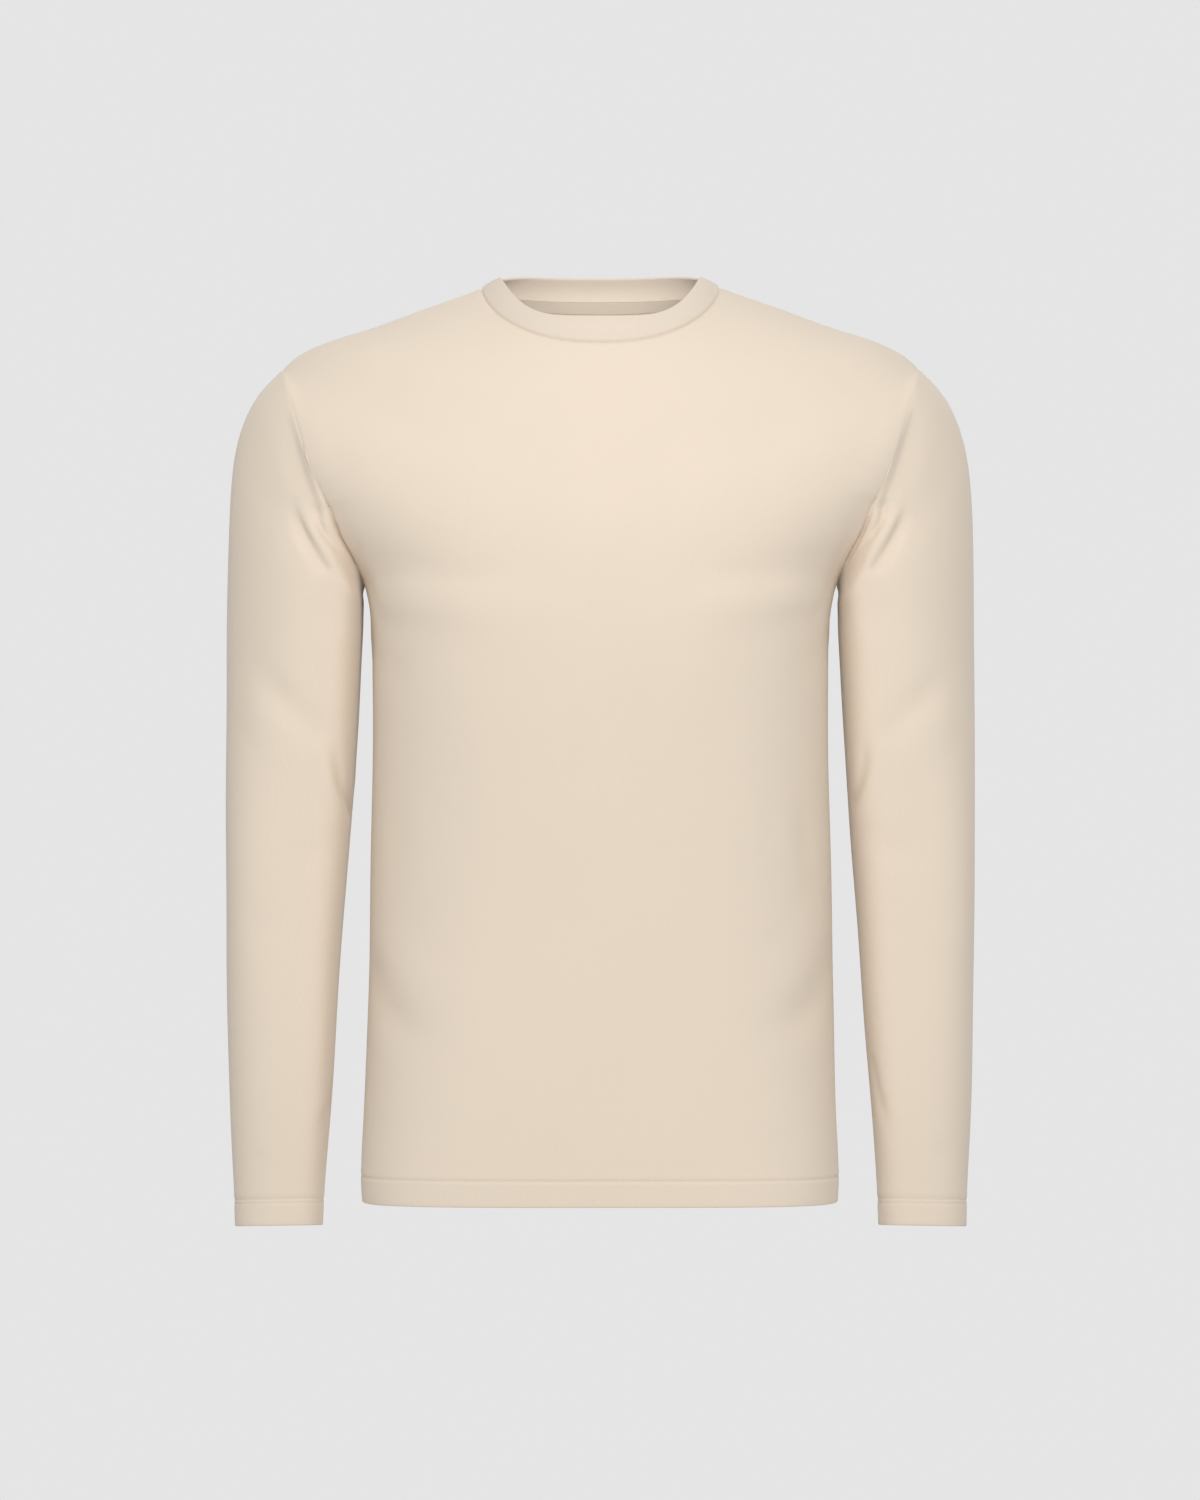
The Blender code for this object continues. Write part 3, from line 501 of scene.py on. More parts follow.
def sleeve_ring(distance):
    """One ring of the left sleeve, from its inner point round the front and back again."""
    outer_x, outer_z, inner_x, inner_z, line_y, front, back, outer_square, inner_square, lean, rise = (
        spline(RING_KNOTS, np.array(SLEEVE_RINGS, float), [distance])[0])
    turn = np.linspace(0.0, np.pi, FINE)
    squareness = np.where(turn < np.pi / 2, inner_square, outer_square)
    across = np.sign(np.cos(turn)) * np.abs(np.cos(turn)) ** (2 / squareness)
    deep = np.abs(np.sin(turn)) ** (2 / squareness)
    halves = []
    for depth, share in ((-front, lean), (back, lean * BACK_LEAN)):
        place = across + share * (1.0 - across ** 2)
        half = np.stack([
            (inner_x + outer_x) / 2 + (inner_x - outer_x) / 2 * place,
            line_y + depth * deep,
            (inner_z + outer_z) / 2 + (inner_z - outer_z) / 2 * place - rise * depth * deep,
        ], axis=1)
        halves.append(at_fractions(half, armhole_fractions()))
    return np.concatenate([halves[0], halves[1][-2:0:-1]])


def sleeve_sheet(front_edge, back_edge, distances):
    """The outer points of the left sleeve, whose first ring is the armhole's own points."""
    armhole = np.concatenate([front_edge, back_edge[-2:0:-1]])
    change = armhole - sleeve_ring(0.0)
    rows = [sleeve_ring(d) + change * eased(1.0 - d / SLEEVE_EASE) for d in distances]
    rows[0] = armhole
    return np.array(rows)


# ---------- collar and tape
def collar_top(half):
    """The collar's upper edge, a point over each point of the neck seam."""
    turn = np.linspace(0.0, np.pi / 2, FINE)
    across = np.sin(turn) ** (2 / COLLAR_TOP_SQUARENESS)
    along = np.cos(turn) ** (2 / COLLAR_TOP_SQUARENESS)
    quarters = []
    for middle, climb in ((COLLAR_TOP_FRONT, COLLAR_FRONT_CLIMB), (COLLAR_TOP_BACK, COLLAR_BACK_CLIMB)):
        quarter = np.stack([
            COLLAR_TOP_SIDE.x * across,
            middle.y * along,
            middle.z + (COLLAR_TOP_SIDE.z - middle.z) * across ** climb,
        ], axis=1)
        quarters.append(at_fractions(quarter, np.linspace(0.0, 1.0, half + 1)))
    front, back = quarters
    return np.concatenate([front[::-1] * MIRROR, front[1:], back[-2::-1], back[1:-1] * MIRROR])


def collar_sheet(front_neck, back_neck):
    """The collar's outer points, in rows from the neck seam up to its folded edge."""
    seam_ring = np.concatenate([front_neck, back_neck[-2:0:-1]])
    top_ring = collar_top(len(front_neck) // 2)
    outward = unit(seam_ring * (1.0, 1.0, 0.0))
    height = np.linalg.norm(top_ring - seam_ring, axis=1)
    low = EDGE_STEPS[:-3, None] / height
    high = 1.0 - FOLD_STEPS[::-1, None] / height
    share = np.linspace(0.0, 1.0, COLLAR_MIDDLE_ROWS + 2)[1:-1, None]
    middle = low[-1] + (high[0] - low[-1]) * share
    heights = np.concatenate([low, middle, high])
    sheet = seam_ring + (top_ring - seam_ring) * heights[..., None]
    sheet += outward * (COLLAR_BULGE * np.sin(np.pi * heights))[..., None]
    sheet[0] = seam_ring
    return sheet, (1.0 - heights) * height


def tape_sheets(back):
    """Both faces of the neck tape, laid on the inside of the back panel under the collar."""
    near, far = [], []
    drops = np.linspace(TAPE_DROP, TAPE_DROP + TAPE_WIDTH, TAPE_ROWS)
    for column in range(TAPE_END_COLUMNS, back.outer.shape[1] - TAPE_END_COLUMNS):
        line = back.inner[::-1, column][:TAPE_LINE_ROWS]
        inward = -back.normal[::-1, column][:TAPE_LINE_ROWS]
        points = at_distances(line, drops)
        facing = between(drops, lengths_along(line), inward)
        near.append(points + facing * TAPE_GAP)
        far.append(points + facing * (TAPE_GAP + TAPE_WALL))
    return np.stack(near, axis=1), np.stack(far, axis=1)


# ---------- shells
class Shell:
    """A sheet of outer points of one piece, with what is known at each of them."""

    def __init__(self, sheet, closed, kind, from_fold):
        self.base = sheet
        self.outer = sheet
        self.inner = self.relief = self.normal = self.group = None
        self.closed = closed
        self.kind = kind
        self.from_fold = np.broadcast_to(from_fold, sheet.shape[:2])
        self.flipped = False

    def on_edge(self):
        """Which points lie on the sheet's edges."""
        edge = np.zeros(self.base.shape[:2], bool)
        edge[[0, -1]] = True
        if not self.closed:
            edge[:, [0, -1]] = True
        return edge

    def find_normals(self):
        """Set the outward normal at each point."""
        points = self.outer
        if self.closed:
            wrapped = np.concatenate([points[:, -1:], points, points[:, :1]], axis=1)
            across = np.gradient(wrapped, axis=1)[:, 1:-1]
            centre = points.mean(axis=1, keepdims=True)
        else:
            across = np.gradient(points, axis=1)
            centre = points * (0.0, 0.0, 1.0)
        normal = unit(np.cross(across, np.gradient(points, axis=0)))
        self.flipped = np.sum(normal * (points - centre)) < 0
        self.normal = -normal if self.flipped else normal


def group_edges(shells):
    """Number the places where edge points of the shells meet."""
    places = np.concatenate([shell.base[shell.on_edge()] for shell in shells])
    groups = np.unique(np.round(places, 6), axis=0, return_inverse=True)[1].ravel()
    start = 0
    for shell in shells:
        count = int(shell.on_edge().sum())
        shell.group = groups[start:start + count]
        start += count
    return groups.max() + 1


def share_normals(shells, group_count):
    """Give shells that meet at a point one normal there, and return how far each one turned."""
    total = np.zeros((group_count, 3))
    for shell in shells:
        shell.find_normals()
        np.add.at(total, shell.group, shell.normal[shell.on_edge()])
    total = unit(total)
    closeness = np.zeros(group_count)
    count = np.zeros(group_count)
    for shell in shells:
        own = shell.normal[shell.on_edge()]
        np.add.at(closeness, shell.group, np.sum(own * total[shell.group], axis=1))
        np.add.at(count, shell.group, 1.0)
        shell.normal[shell.on_edge()] = total[shell.group]
    return closeness / count


def distance_to_line(points, line, reach):
    """How far points are from a polyline, and where on it and where along it they are nearest."""
    nearest = np.full(len(points), np.inf)
    place = np.zeros((len(points), 3))
    along = np.zeros(len(points))
    low, high = line.min(axis=0) - reach, line.max(axis=0) + reach
    close = np.nonzero(np.all((points > low) & (points < high), axis=1))[0]
    lengths = lengths_along(line)
    near_points = points[close]
    for start, end, before, after in zip(line[:-1], line[1:], lengths[:-1], lengths[1:]):
        run = end - start
        share = np.clip((near_points - start) @ run / max(run @ run, 1e-18), 0.0, 1.0)
        spot = start + share[:, None] * run
        distance = np.linalg.norm(near_points - spot, axis=1)
        better = distance < nearest[close]
        chosen = close[better]
        nearest[chosen] = distance[better]
        place[chosen] = spot[better]
        along[chosen] = (before + share[better] * (after - before)) / lengths[-1]
    return nearest, place, along


# ---------- creases
def crease_line(crease, side, face, homes):
    """A crease's points on the front or back of its homes, and how the cloth faces there."""
    lower = RIGHT_LOWER if crease.side == BOTH and side == RIGHT else 0.0
    spots = [(crease.x1, crease.z1), (crease.x2, crease.z2), (crease.x3, crease.z3)]
    plan = spline([0.0, 0.5, 1.0], spots, np.linspace(0.0, 1.0, CREASE_POINTS))
    plan = plan * (side, 1.0) - (0.0, lower)
    points = np.concatenate([shell.base.reshape(-1, 3) for shell in homes])
    normals = np.concatenate([shell.normal.reshape(-1, 3) for shell in homes])
    shown = normals[:, 1] * face > CREASE_FACING
    points, normals = points[shown], normals[shown]
    line, facing = [], []
    for x, z in plan:
        apart = np.hypot(points[:, 0] - x, points[:, 2] - z)
        close = np.argsort(apart)[:CREASE_NEIGHBOURS]
        weight = 1.0 / (apart[close] + SMALLEST_GAP)
        weight /= weight.sum()
        line.append((x, weight @ points[close, 1], z))
        facing.append(weight @ normals[close])
    return np.array(line), unit(np.array(facing))


def crease_push(crease, side, line, facing, points, normals):
    """How far a crease presses each point in, against the way that the cloth faces there."""
    reach = crease.width * CREASE_REACH * abs(crease.skirt)
    distance, place, along = distance_to_line(points, line, reach)
    push = np.zeros(len(points))
    near = np.nonzero(distance < reach)[0]
    spots = along[near] * (len(line) - 1)
    numbers = np.arange(len(line))
    run = between(spots, numbers, np.gradient(line, axis=0))
    face = between(spots, numbers, facing)
    aside = np.sum((points[near] - place[near]) * unit(np.cross(run, face)), axis=1)
    ends = distance[near] ** 2 - aside ** 2
    mirrored = side if crease.side == BOTH else 1
    lip_off = aside - np.sign(crease.lip) * mirrored * LIP_OFF * crease.width
    skirted = aside * np.sign(crease.skirt) * mirrored > 0.0
    width = crease.width * np.where(skirted, abs(crease.skirt), 1.0)
    trough = np.exp(-(aside / width) ** 2 - ends / crease.width ** 2)
    lip = abs(crease.lip) * np.exp(-(lip_off ** 2 + ends) / (LIP_SPREAD * crease.width) ** 2)
    first = crease.head + (1.0 - crease.head) * eased(2.0 * along[near])
    last = crease.tail + (1.0 - crease.tail) * eased(2.0 - 2.0 * along[near])
    same_way = eased(np.sum(normals[near] * face, axis=1) / SAME_WAY)
    share = RIGHT_SHARE if crease.side == BOTH and side == RIGHT else 1.0
    push[near] = crease.depth * share * np.minimum(first, last) * (trough - lip) * same_way
    return push


def swell(points):
    """The slow unevenness of the cloth at each point."""
    total = np.zeros(len(points))
    for wave in SWELLS:
        turns = points @ np.array([wave.x, wave.y, wave.z]) * 2.0 * np.pi
        total += wave.size * np.sin(turns + wave.start)
    return total


# ---------- seams
def seam_lines(shells, levels):
    """Every seam's line and form."""
    front, back = shells["front"].base, shells["back"].base
    lines = [(np.concatenate([front[-1], back[-1, ::-1]]), NECK_SEAM)]
    for rows in (levels <= 1.0, levels >= 2.0):
        lines += [(front[rows, 0], PLAIN_SEAM), (front[rows, -1], PLAIN_SEAM)]
    for name in ("sleeve_left", "sleeve_right"):
        sheet = shells[name].base
        lines.append((np.concatenate([sheet[0], sheet[0, :1]]), ARMHOLE_SEAM))
        lines.append((sheet[:, 0], PLAIN_SEAM))
    return lines


def seam_push(shell, lines):
    """How far the seams press a shell's points in: one groove at each seam, lips beside it."""
    points = shell.base.reshape(-1, 3)
    groove = np.zeros(len(points))
    lips = np.zeros(len(points))
    clear = np.ones(len(points))
    for line, seam in lines:
        distance = distance_to_line(points, line, SEAM_REACH)[0]
        groove = np.maximum(groove, seam.groove * bell(distance, GROOVE_WIDTH))
        lip = getattr(seam, shell.kind + "_lip")
        lips += lip.height * bell(distance - lip.off, lip.width)
        clear *= 1.0 - bell(distance, LIP_START)
    return groove - lips * clear


def turned_share(shell):
    """Where a shell's edge is turned up: 1 below its line of stitches, 0 above."""
    return eased(0.5 - (shell.from_fold - TURNED[shell.kind].depth) / TURN_SOFTNESS)


def stitch_push(shell):
    """How far the stitch lines of a hem or cuff press the cloth in, and the band above them."""
    if shell.kind not in TURNED:
        return np.zeros(shell.base.shape[:2])
    depth, lines = TURNED[shell.kind]
    offset = shell.from_fold - depth
    push = np.zeros(offset.shape)
    for line in lines:
        push = np.maximum(push, STITCH_GROOVE * bell(offset - line, STITCH_GROOVE_WIDTH))
    push -= EDGE_BAND * bell(offset - lines[-1] - EDGE_BAND_OFF, EDGE_BAND_WIDTH)
    return push - TURNED_PROUD * turned_share(shell)


def press_cloth(shells, levels):
    """Move every shell's points by the creases and unevenness, and find its seams' relief."""
    lines = seam_lines(shells, levels)
    drawn = []
    for kind, face, creases in CREASES:
        homes = [shell for shell in shells.values() if shell.kind == kind]
        for crease in creases:
            for side in ((LEFT, RIGHT) if crease.side == BOTH else (crease.side,)):
                line, facing = crease_line(crease, side, face, homes)
                drawn.append((crease, side, line, facing))
    for shell in shells.values():
        points = shell.base.reshape(-1, 3)
        normals = shell.normal.reshape(-1, 3)
        push = -swell(points)
        for crease, side, line, facing in drawn:
            push += crease_push(crease, side, line, facing, points, normals)
        push = push.reshape(shell.base.shape[:2])
        shell.relief = seam_push(shell, lines).reshape(push.shape) + stitch_push(shell)
        shell.outer = shell.base - shell.normal * push[..., None]


def wall_shells(shells, group_count):
    """Give every shell its wall, mitred at seams, rounded at folds, its relief outside alone."""
    closeness = share_normals(shells.values(), group_count)
    for shell in shells.values():
        if shell.kind in TURNED:
            wall = JERSEY_WALL + (TURNED_WALL - JERSEY_WALL) * turned_share(shell)
        else:
            wall = np.full(shell.base.shape[:2], COLLAR_WALL)
        wall[shell.on_edge()] /= np.maximum(closeness[shell.group], 1.0 / MITRE_LIMIT)
        near = np.clip(1.0 - shell.from_fold / FOLD_ROUND, 0.0, 1.0)
        pinch = (1.0 - np.sqrt(1.0 - near ** 2)) * FOLD_PINCH * wall / 2
        shell.inner = shell.outer - shell.normal * (wall - pinch)[..., None]
        shell.outer = shell.outer - shell.normal * (pinch + shell.relief)[..., None]


def make_shells():
    """Every piece but the tape, as shells that share their seams' points."""
    levels = panel_levels()
    front = panel_sheet(FRONT, levels)
    back = panel_sheet(BACK, levels)
    armhole = (levels >= 1.0) & (levels <= 2.0)
    distances = sleeve_distances()
    left_sleeve = sleeve_sheet(front[armhole, -1], back[armhole, -1], distances)
    collar, from_top = collar_sheet(front[-1], back[-1])
    from_hem = np.minimum(levels, 1.0)[:, None] * SIDE_LENGTH
    from_cuff = (SLEEVE_LENGTH - distances)[:, None]
    shells = {
        "front": Shell(front, False, "body", from_hem),
        "back": Shell(back, False, "body", from_hem),
        "sleeve_left": Shell(left_sleeve, True, "sleeve", from_cuff),
        "sleeve_right": Shell(left_sleeve * MIRROR, True, "sleeve", from_cuff),
        "collar": Shell(collar, True, "collar", from_top),
    }
    group_count = group_edges(shells.values())
    share_normals(shells.values(), group_count)
    press_cloth(shells, levels)
    wall_shells(shells, group_count)
    return shells


# ---------- meshes
def texture_places(sheet, closed):
    """Distances across and up the cloth at each point, with the first column again at the end."""
    wrapped = np.concatenate([sheet, sheet[:, :1]], axis=1) if closed else sheet
    across = np.linalg.norm(np.diff(wrapped, axis=1), axis=2)
    across = np.concatenate([np.zeros((len(sheet), 1)), np.cumsum(across, axis=1)], axis=1)
    across -= across.mean(axis=1)[:, None]
    up = np.linalg.norm(np.diff(wrapped, axis=0), axis=2)
    up = np.concatenate([np.zeros((1, wrapped.shape[1])), np.cumsum(up, axis=0)])
    return np.stack([across, up], axis=2)


def numbered(rows, columns, closed):
    """A grid of point numbers, with the first column again at the end if it is closed."""
    grid = np.arange(rows * columns).reshape(rows, columns)
    return np.concatenate([grid, grid[:, :1]], axis=1) if closed else grid


def quads(grid):
    """The four-sided faces between a grid's points."""
    corners = [grid[:-1, :-1], grid[:-1, 1:], grid[1:, 1:], grid[1:, :-1]]
    return np.stack(corners, axis=-1).reshape(-1, 4)


def shell_faces(grid, lift, closed):
    """The faces of a closed wall over a grid of numbers, whose inner points are lift higher."""
    outer = quads(grid)
    faces = [outer, outer[:, ::-1] + lift]
    edges = [(grid[0, 1:], grid[0, :-1]), (grid[-1, :-1], grid[-1, 1:])]
    if not closed:
        edges += [(grid[:-1, 0], grid[1:, 0]), (grid[1:, -1], grid[:-1, -1])]
    for start, end in edges:
        faces.append(np.stack([start, end, end + lift, start + lift], axis=-1))
    return np.concatenate(faces)


def add_object(name, data):
    """A new object in the scene."""
    made = bpy.data.objects.new(name, data)
    bpy.context.scene.collection.objects.link(made)
    return made


def make_object(name, points, faces, texture=None, texture_faces=None):
    """One mesh object, smooth apart from its sharp edges."""
    mesh = bpy.data.meshes.new(name)
    mesh.from_pydata(points.tolist(), [], faces.tolist())
    if texture is not None:
        layer = mesh.uv_layers.new(name="cloth")
        layer.data.foreach_set("uv", texture[texture_faces.ravel()].astype(np.float32).ravel())
    mesh.shade_smooth()
    mesh.set_sharp_from_angle(angle=math.radians(SHARP_ANGLE))
    return add_object(name, mesh)


def wall_object(name, outer, inner, closed, flipped):
    """A closed wall between an outer and an inner sheet of points."""
    rows, columns = outer.shape[:2]
    texture = texture_places(outer, closed)
    faces = shell_faces(numbered(rows, columns, closed), rows * columns, closed)
    texture_faces = shell_faces(numbered(*texture.shape[:2], False), 0, closed)
    if flipped:
        faces, texture_faces = faces[:, ::-1], texture_faces[:, ::-1]
    points = np.concatenate([outer.reshape(-1, 3), inner.reshape(-1, 3)])
    return make_object(name, points, faces, texture.reshape(-1, 2), texture_faces)


def stitch_object(name, lines):
    """Lines of stitches, each lying along a row of points with the cloth's normals."""
    turns = np.arange(STITCH_SIDES) * 2.0 * np.pi / STITCH_SIDES
    points, faces = [], []
    one = quads(numbered(len(STITCH_PROFILE), STITCH_SIDES, True))
    for line, normals in lines:
        along = lengths_along(line)
        count = int(along[-1] // STITCH_PITCH)
        margin = (along[-1] - (count - 1) * STITCH_PITCH) / 2
        for number in range(count):
            middle = margin + number * STITCH_PITCH
            ends = at_distances(line, [middle - STITCH_LENGTH / 2, middle, middle + STITCH_LENGTH / 2])
            run = unit(ends[2] - ends[0])
            up = between(middle, along, normals)
            up = unit(up - run * (up @ run))
            ring = up * np.cos(turns)[:, None] + np.cross(run, up) * np.sin(turns)[:, None]
            centre = ends[1] - up * STITCH_SINK
            first = len(points) * len(STITCH_PROFILE) * STITCH_SIDES
            body = [centre + run * (STITCH_LENGTH / 2 * place) + ring * (STITCH_RADIUS * size)
                    for place, size in STITCH_PROFILE]
            points.append(np.concatenate(body))
            faces.append(one + first)
    return make_object(name, np.concatenate(points), np.concatenate(faces))


# ---------- materials
# wale and course are a stitch's size; fuzz, patches and grain are features a metre; spread is
# the share by which a colour varies.
Knit = namedtuple("Knit", "colour wale course lean bump spread")
JERSEY = Knit((0.797, 0.683, 0.558), 0.00090, 0.00070, 0.9, 0.30, 0.025)
RIB = Knit((0.775, 0.668, 0.555), 0.00130, 0.00080, 0.6, 0.50, 0.025)
KNIT_FUZZ = 1400.0
FUZZ_SHARE = 1.2           # the fuzz's height beside the stitches'
SLOW_PATCHES, SLOW_SHARE = 22.0, 0.45
FINE_PATCHES, FINE_SHARE = 420.0, 0.55
Plain = namedtuple("Plain", "colour grain bump spread")
TAPE = Plain((0.750, 0.645, 0.530), 1800.0, 0.4, 0.05)
THREAD = Plain((0.800, 0.695, 0.575), 3000.0, 0.4, 0.06)
BUMP_HEIGHT = 0.0001
FINE_DETAIL, PLAIN_DETAIL = 3.0, 2.0
CLOTH = {"Metallic": 0.0, "Specular IOR Level": 0.25, "Sheen Roughness": 0.5}
KNIT_CLOTH = {"Roughness": 0.88, "Sheen Weight": 0.50, "Sheen Tint": (1.0, 0.95, 0.87, 1.0)}
PLAIN_CLOTH = {"Roughness": 0.80, "Sheen Weight": 0.12, "Sheen Tint": (1.0, 0.96, 0.90, 1.0)}


def add_node(tree, kind, inputs):
    """A node with its values set or its inputs linked, by the inputs' names or numbers."""
    node = tree.nodes.new(kind)
    for key, value in inputs.items():
        if isinstance(value, bpy.types.NodeSocket):
            tree.links.new(value, node.inputs[key])
        else:
            node.inputs[key].default_value = value
    return node


def math_node(tree, operation, *values):
    """The result of a Math node."""
    node = add_node(tree, "ShaderNodeMath", dict(enumerate(values)))
    node.operation = operation
    return node.outputs[0]


def noise(tree, place, scale, detail):
    """A noise between 0 and 1 with its features about 1/scale metres wide."""
    inputs = {"Vector": place.outputs["Object"], "Scale": scale, "Detail": detail}
    return add_node(tree, "ShaderNodeTexNoise", inputs).outputs[0]


def new_material(name, *tables):
    """A material with the tables' constant values on its own shader."""
    material = bpy.data.materials.new(name)
    material.use_nodes = True
    shader = material.node_tree.nodes["Principled BSDF"]
    for values in tables:
        for key, value in values.items():
            shader.inputs[key].default_value = value
    return material


def shaded(colour, share):
    """A colour made lighter or darker."""
    return tuple(value * share for value in colour) + (1.0,)


def finish_cloth(tree, look, height, blend):
    """Give a cloth its relief, from a height, and its uneven colour, from a blend of 0 to 1."""
    darker = shaded(look.colour, 1.0 - look.spread)
    lighter = shaded(look.colour, 1.0 + look.spread)
    relief = add_node(tree, "ShaderNodeBump", {
        "Strength": look.bump, "Distance": BUMP_HEIGHT, "Height": height,
    })
    shade = add_node(tree, "ShaderNodeMix", {0: blend, 6: darker, 7: lighter})
    shade.data_type = "RGBA"
    shader = tree.nodes["Principled BSDF"]
    tree.links.new(relief.outputs[0], shader.inputs["Normal"])
    tree.links.new(shade.outputs[2], shader.inputs["Base Color"])


def knit_height(tree, across, up, knit):
    """The height of a knit: columns of slanting stitches, wale wide and course high."""
    column = math_node(tree, "FRACT", math_node(tree, "DIVIDE", across, knit.wale))
    off = math_node(tree, "ABSOLUTE", math_node(tree, "SUBTRACT", column, 0.5))
    rise = math_node(tree, "DIVIDE", up, knit.course)
    slant = math_node(tree, "MULTIPLY_ADD", off, knit.lean, rise)
    stitch = math_node(tree, "SINE", math_node(tree, "MULTIPLY", slant, 2.0 * math.pi))
    ridge = math_node(tree, "COSINE", math_node(tree, "MULTIPLY", off, 2.0 * math.pi))
    return math_node(tree, "MULTIPLY_ADD", stitch, 0.5, ridge)


def knit_material(name, knit):
    """A knitted cloth: its stitches as bump, its colour and fuzz slightly uneven."""
    material = new_material(name, CLOTH, KNIT_CLOTH)
    tree = material.node_tree
    place = add_node(tree, "ShaderNodeTexCoord", {})
    flat = add_node(tree, "ShaderNodeSeparateXYZ", {0: place.outputs["UV"]})
    stitches = knit_height(tree, flat.outputs[0], flat.outputs[1], knit)
    fuzz = noise(tree, place, KNIT_FUZZ, FINE_DETAIL)
    height = math_node(tree, "MULTIPLY_ADD", fuzz, FUZZ_SHARE, stitches)
    slow = noise(tree, place, SLOW_PATCHES, FINE_DETAIL)
    fine = noise(tree, place, FINE_PATCHES, PLAIN_DETAIL)
    slow = math_node(tree, "MULTIPLY", slow, SLOW_SHARE)
    finish_cloth(tree, knit, height, math_node(tree, "MULTIPLY_ADD", fine, FINE_SHARE, slow))
    return material


def plain_material(name, plain):
    """A woven tape or a thread: fine noise as bump and colour."""
    material = new_material(name, CLOTH, PLAIN_CLOTH)
    tree = material.node_tree
    place = add_node(tree, "ShaderNodeTexCoord", {})
    grain = noise(tree, place, plain.grain, PLAIN_DETAIL)
    finish_cloth(tree, plain, grain, grain)
    return material


# ---------- the garment
# A sheet's cut: width and length flat, and its area.
Cut = namedtuple("Cut", "width length area")


def stitch_lines(shell):
    """The rows of points that the stitches of a hem or cuff follow, with their normals."""
    depth, offsets = TURNED[shell.kind]
    lines = []
    for offset in offsets:
        row = int(np.argmin(np.abs(shell.from_fold[:, 0] - depth - offset)))
        line, normals = shell.outer[row], shell.normal[row]
        if shell.closed:
            line = np.concatenate([line, line[:1]])
            normals = np.concatenate([normals, normals[:1]])
        lines.append((line, normals))
    return lines


def clothe():
    """Make every visible piece and tie it to the frame."""
    jersey = knit_material("jersey_knit", JERSEY)
    rib = knit_material("rib_knit", RIB)
    tape = plain_material("tape_weave", TAPE)
    thread = plain_material("thread", THREAD)
    looks = {"collar": (rib, "rib"), "neck_tape": (tape, "tape")}
    shells = make_shells()
    made = {}
    for name, shell in shells.items():
        made[name] = wall_object(name + "_cloth", shell.outer, shell.inner, shell.closed, shell.flipped)
    near, far = tape_sheets(shells["back"])
    made["neck_tape"] = wall_object("neck_tape_cloth", far, near, False, False)
    for name, piece in made.items():
        material, slot = looks.get(name, (jersey, "jersey"))
        piece.data.materials.append(material)
        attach(piece, "root")
        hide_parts(name)
    stitches = {}
    for name, shell in shells.items():
        if shell.kind in TURNED:
            stitches[name] = stitch_object(name + "_stitches", stitch_lines(shell))
            stitches[name].data.materials.append(thread)
            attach(stitches[name], "root")


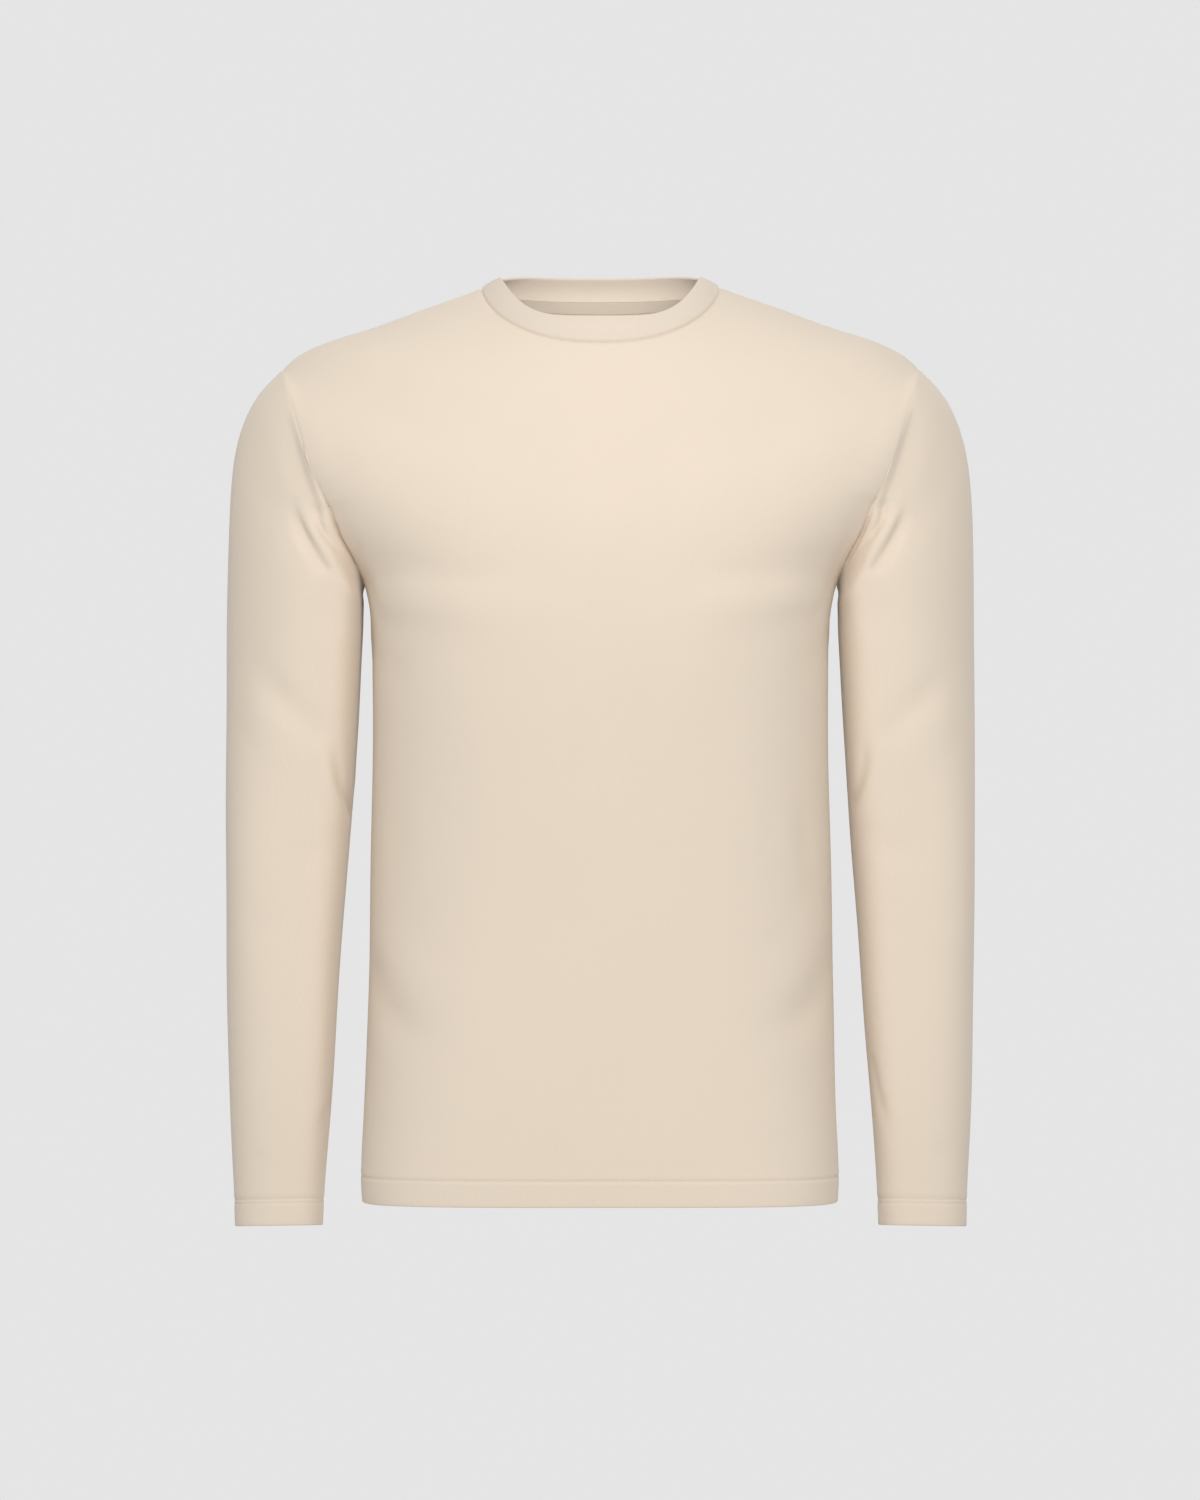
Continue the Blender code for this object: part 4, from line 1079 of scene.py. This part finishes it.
# ---------- floor, light and camera
FLOOR_Z = -1.45            # the floor under a wearer's neck
FLOOR_RADIUS = 1.6
FLOOR_POINTS = 96
FLOOR_PAINT = {"Base Color": (0.78, 0.78, 0.78, 1.0), "Roughness": 0.9}
BACKGROUND = (0.783, 0.783, 0.783, 1.0)
AMBIENT = 0.47             # the soft light from all round
CAMERA_PLACE = (-0.000384, -3.5, -0.3525)
CAMERA_LENS = 109.375      # mm, on a picture 36 mm high
SENSOR_HEIGHT = 36.0
MIDDLE = (0.0, 0.0, -0.25)
Lamp = namedtuple("Lamp", "name place target size power")
LAMPS = table(Lamp, [
    ("key", (0.2, -2.1, 0.35), MIDDLE, 1.1, 24.0),
    ("top", (0.0, -0.5, 1.7), MIDDLE, 1.6, 8.0),
    ("side", (-2.0, -2.2, 0.3), MIDDLE, 1.4, 5.0),
    # a faint lamp in the hollow neck, out of sight, for the inside of the back
    ("neck", (0.0, -0.030, -0.050), (0.0, 0.062, 0.005), 0.06, 0.033),
])


def make_floor():
    """A plain pale floor, well below the garment."""
    turns = np.linspace(0.0, 2.0 * np.pi, FLOOR_POINTS, endpoint=False)
    ring = [(math.cos(turn) * FLOOR_RADIUS, math.sin(turn) * FLOOR_RADIUS, FLOOR_Z) for turn in turns]
    mesh = bpy.data.meshes.new("floor")
    mesh.from_pydata(ring, [], [list(range(FLOOR_POINTS))])
    mesh.materials.append(new_material("floor_paint", FLOOR_PAINT))
    add_object("floor", mesh)


def area_light(lamp):
    """A square soft light aimed at a point."""
    data = bpy.data.lights.new(lamp.name, "AREA")
    data.shape = "SQUARE"
    data.size = lamp.size
    data.energy = lamp.power
    light = add_object(lamp.name, data)
    light.location = lamp.place
    aim = Vector(lamp.target) - Vector(lamp.place)
    light.rotation_euler = aim.to_track_quat("-Z", "Y").to_euler()


def light_scene():
    """Soft studio light and a plain pale background."""
    world = bpy.data.worlds.new("studio")
    bpy.context.scene.world = world
    world.use_nodes = True
    tree = world.node_tree
    tree.nodes.clear()
    seen = add_node(tree, "ShaderNodeBackground", {0: BACKGROUND})
    around = add_node(tree, "ShaderNodeBackground", {0: (1.0, 1.0, 1.0, 1.0), 1: AMBIENT})
    paths = add_node(tree, "ShaderNodeLightPath", {})
    mix = add_node(tree, "ShaderNodeMixShader", {
        0: paths.outputs["Is Camera Ray"], 1: around.outputs[0], 2: seen.outputs[0],
    })
    add_node(tree, "ShaderNodeOutputWorld", {0: mix.outputs[0]})
    for lamp in LAMPS:
        area_light(lamp)
    bpy.context.scene.view_settings.view_transform = "Standard"


def make_camera():
    """The photograph's view: level with the middle of the picture, 3.5 m away."""
    data = bpy.data.cameras.new("camera")
    data.sensor_fit = "VERTICAL"
    data.sensor_height = SENSOR_HEIGHT
    data.lens = CAMERA_LENS
    camera = add_object("camera", data)
    camera.location = CAMERA_PLACE
    camera.rotation_euler = (math.radians(90.0), 0.0, 0.0)
    bpy.context.scene.camera = camera


clothe()
make_floor()
light_scene()
make_camera()
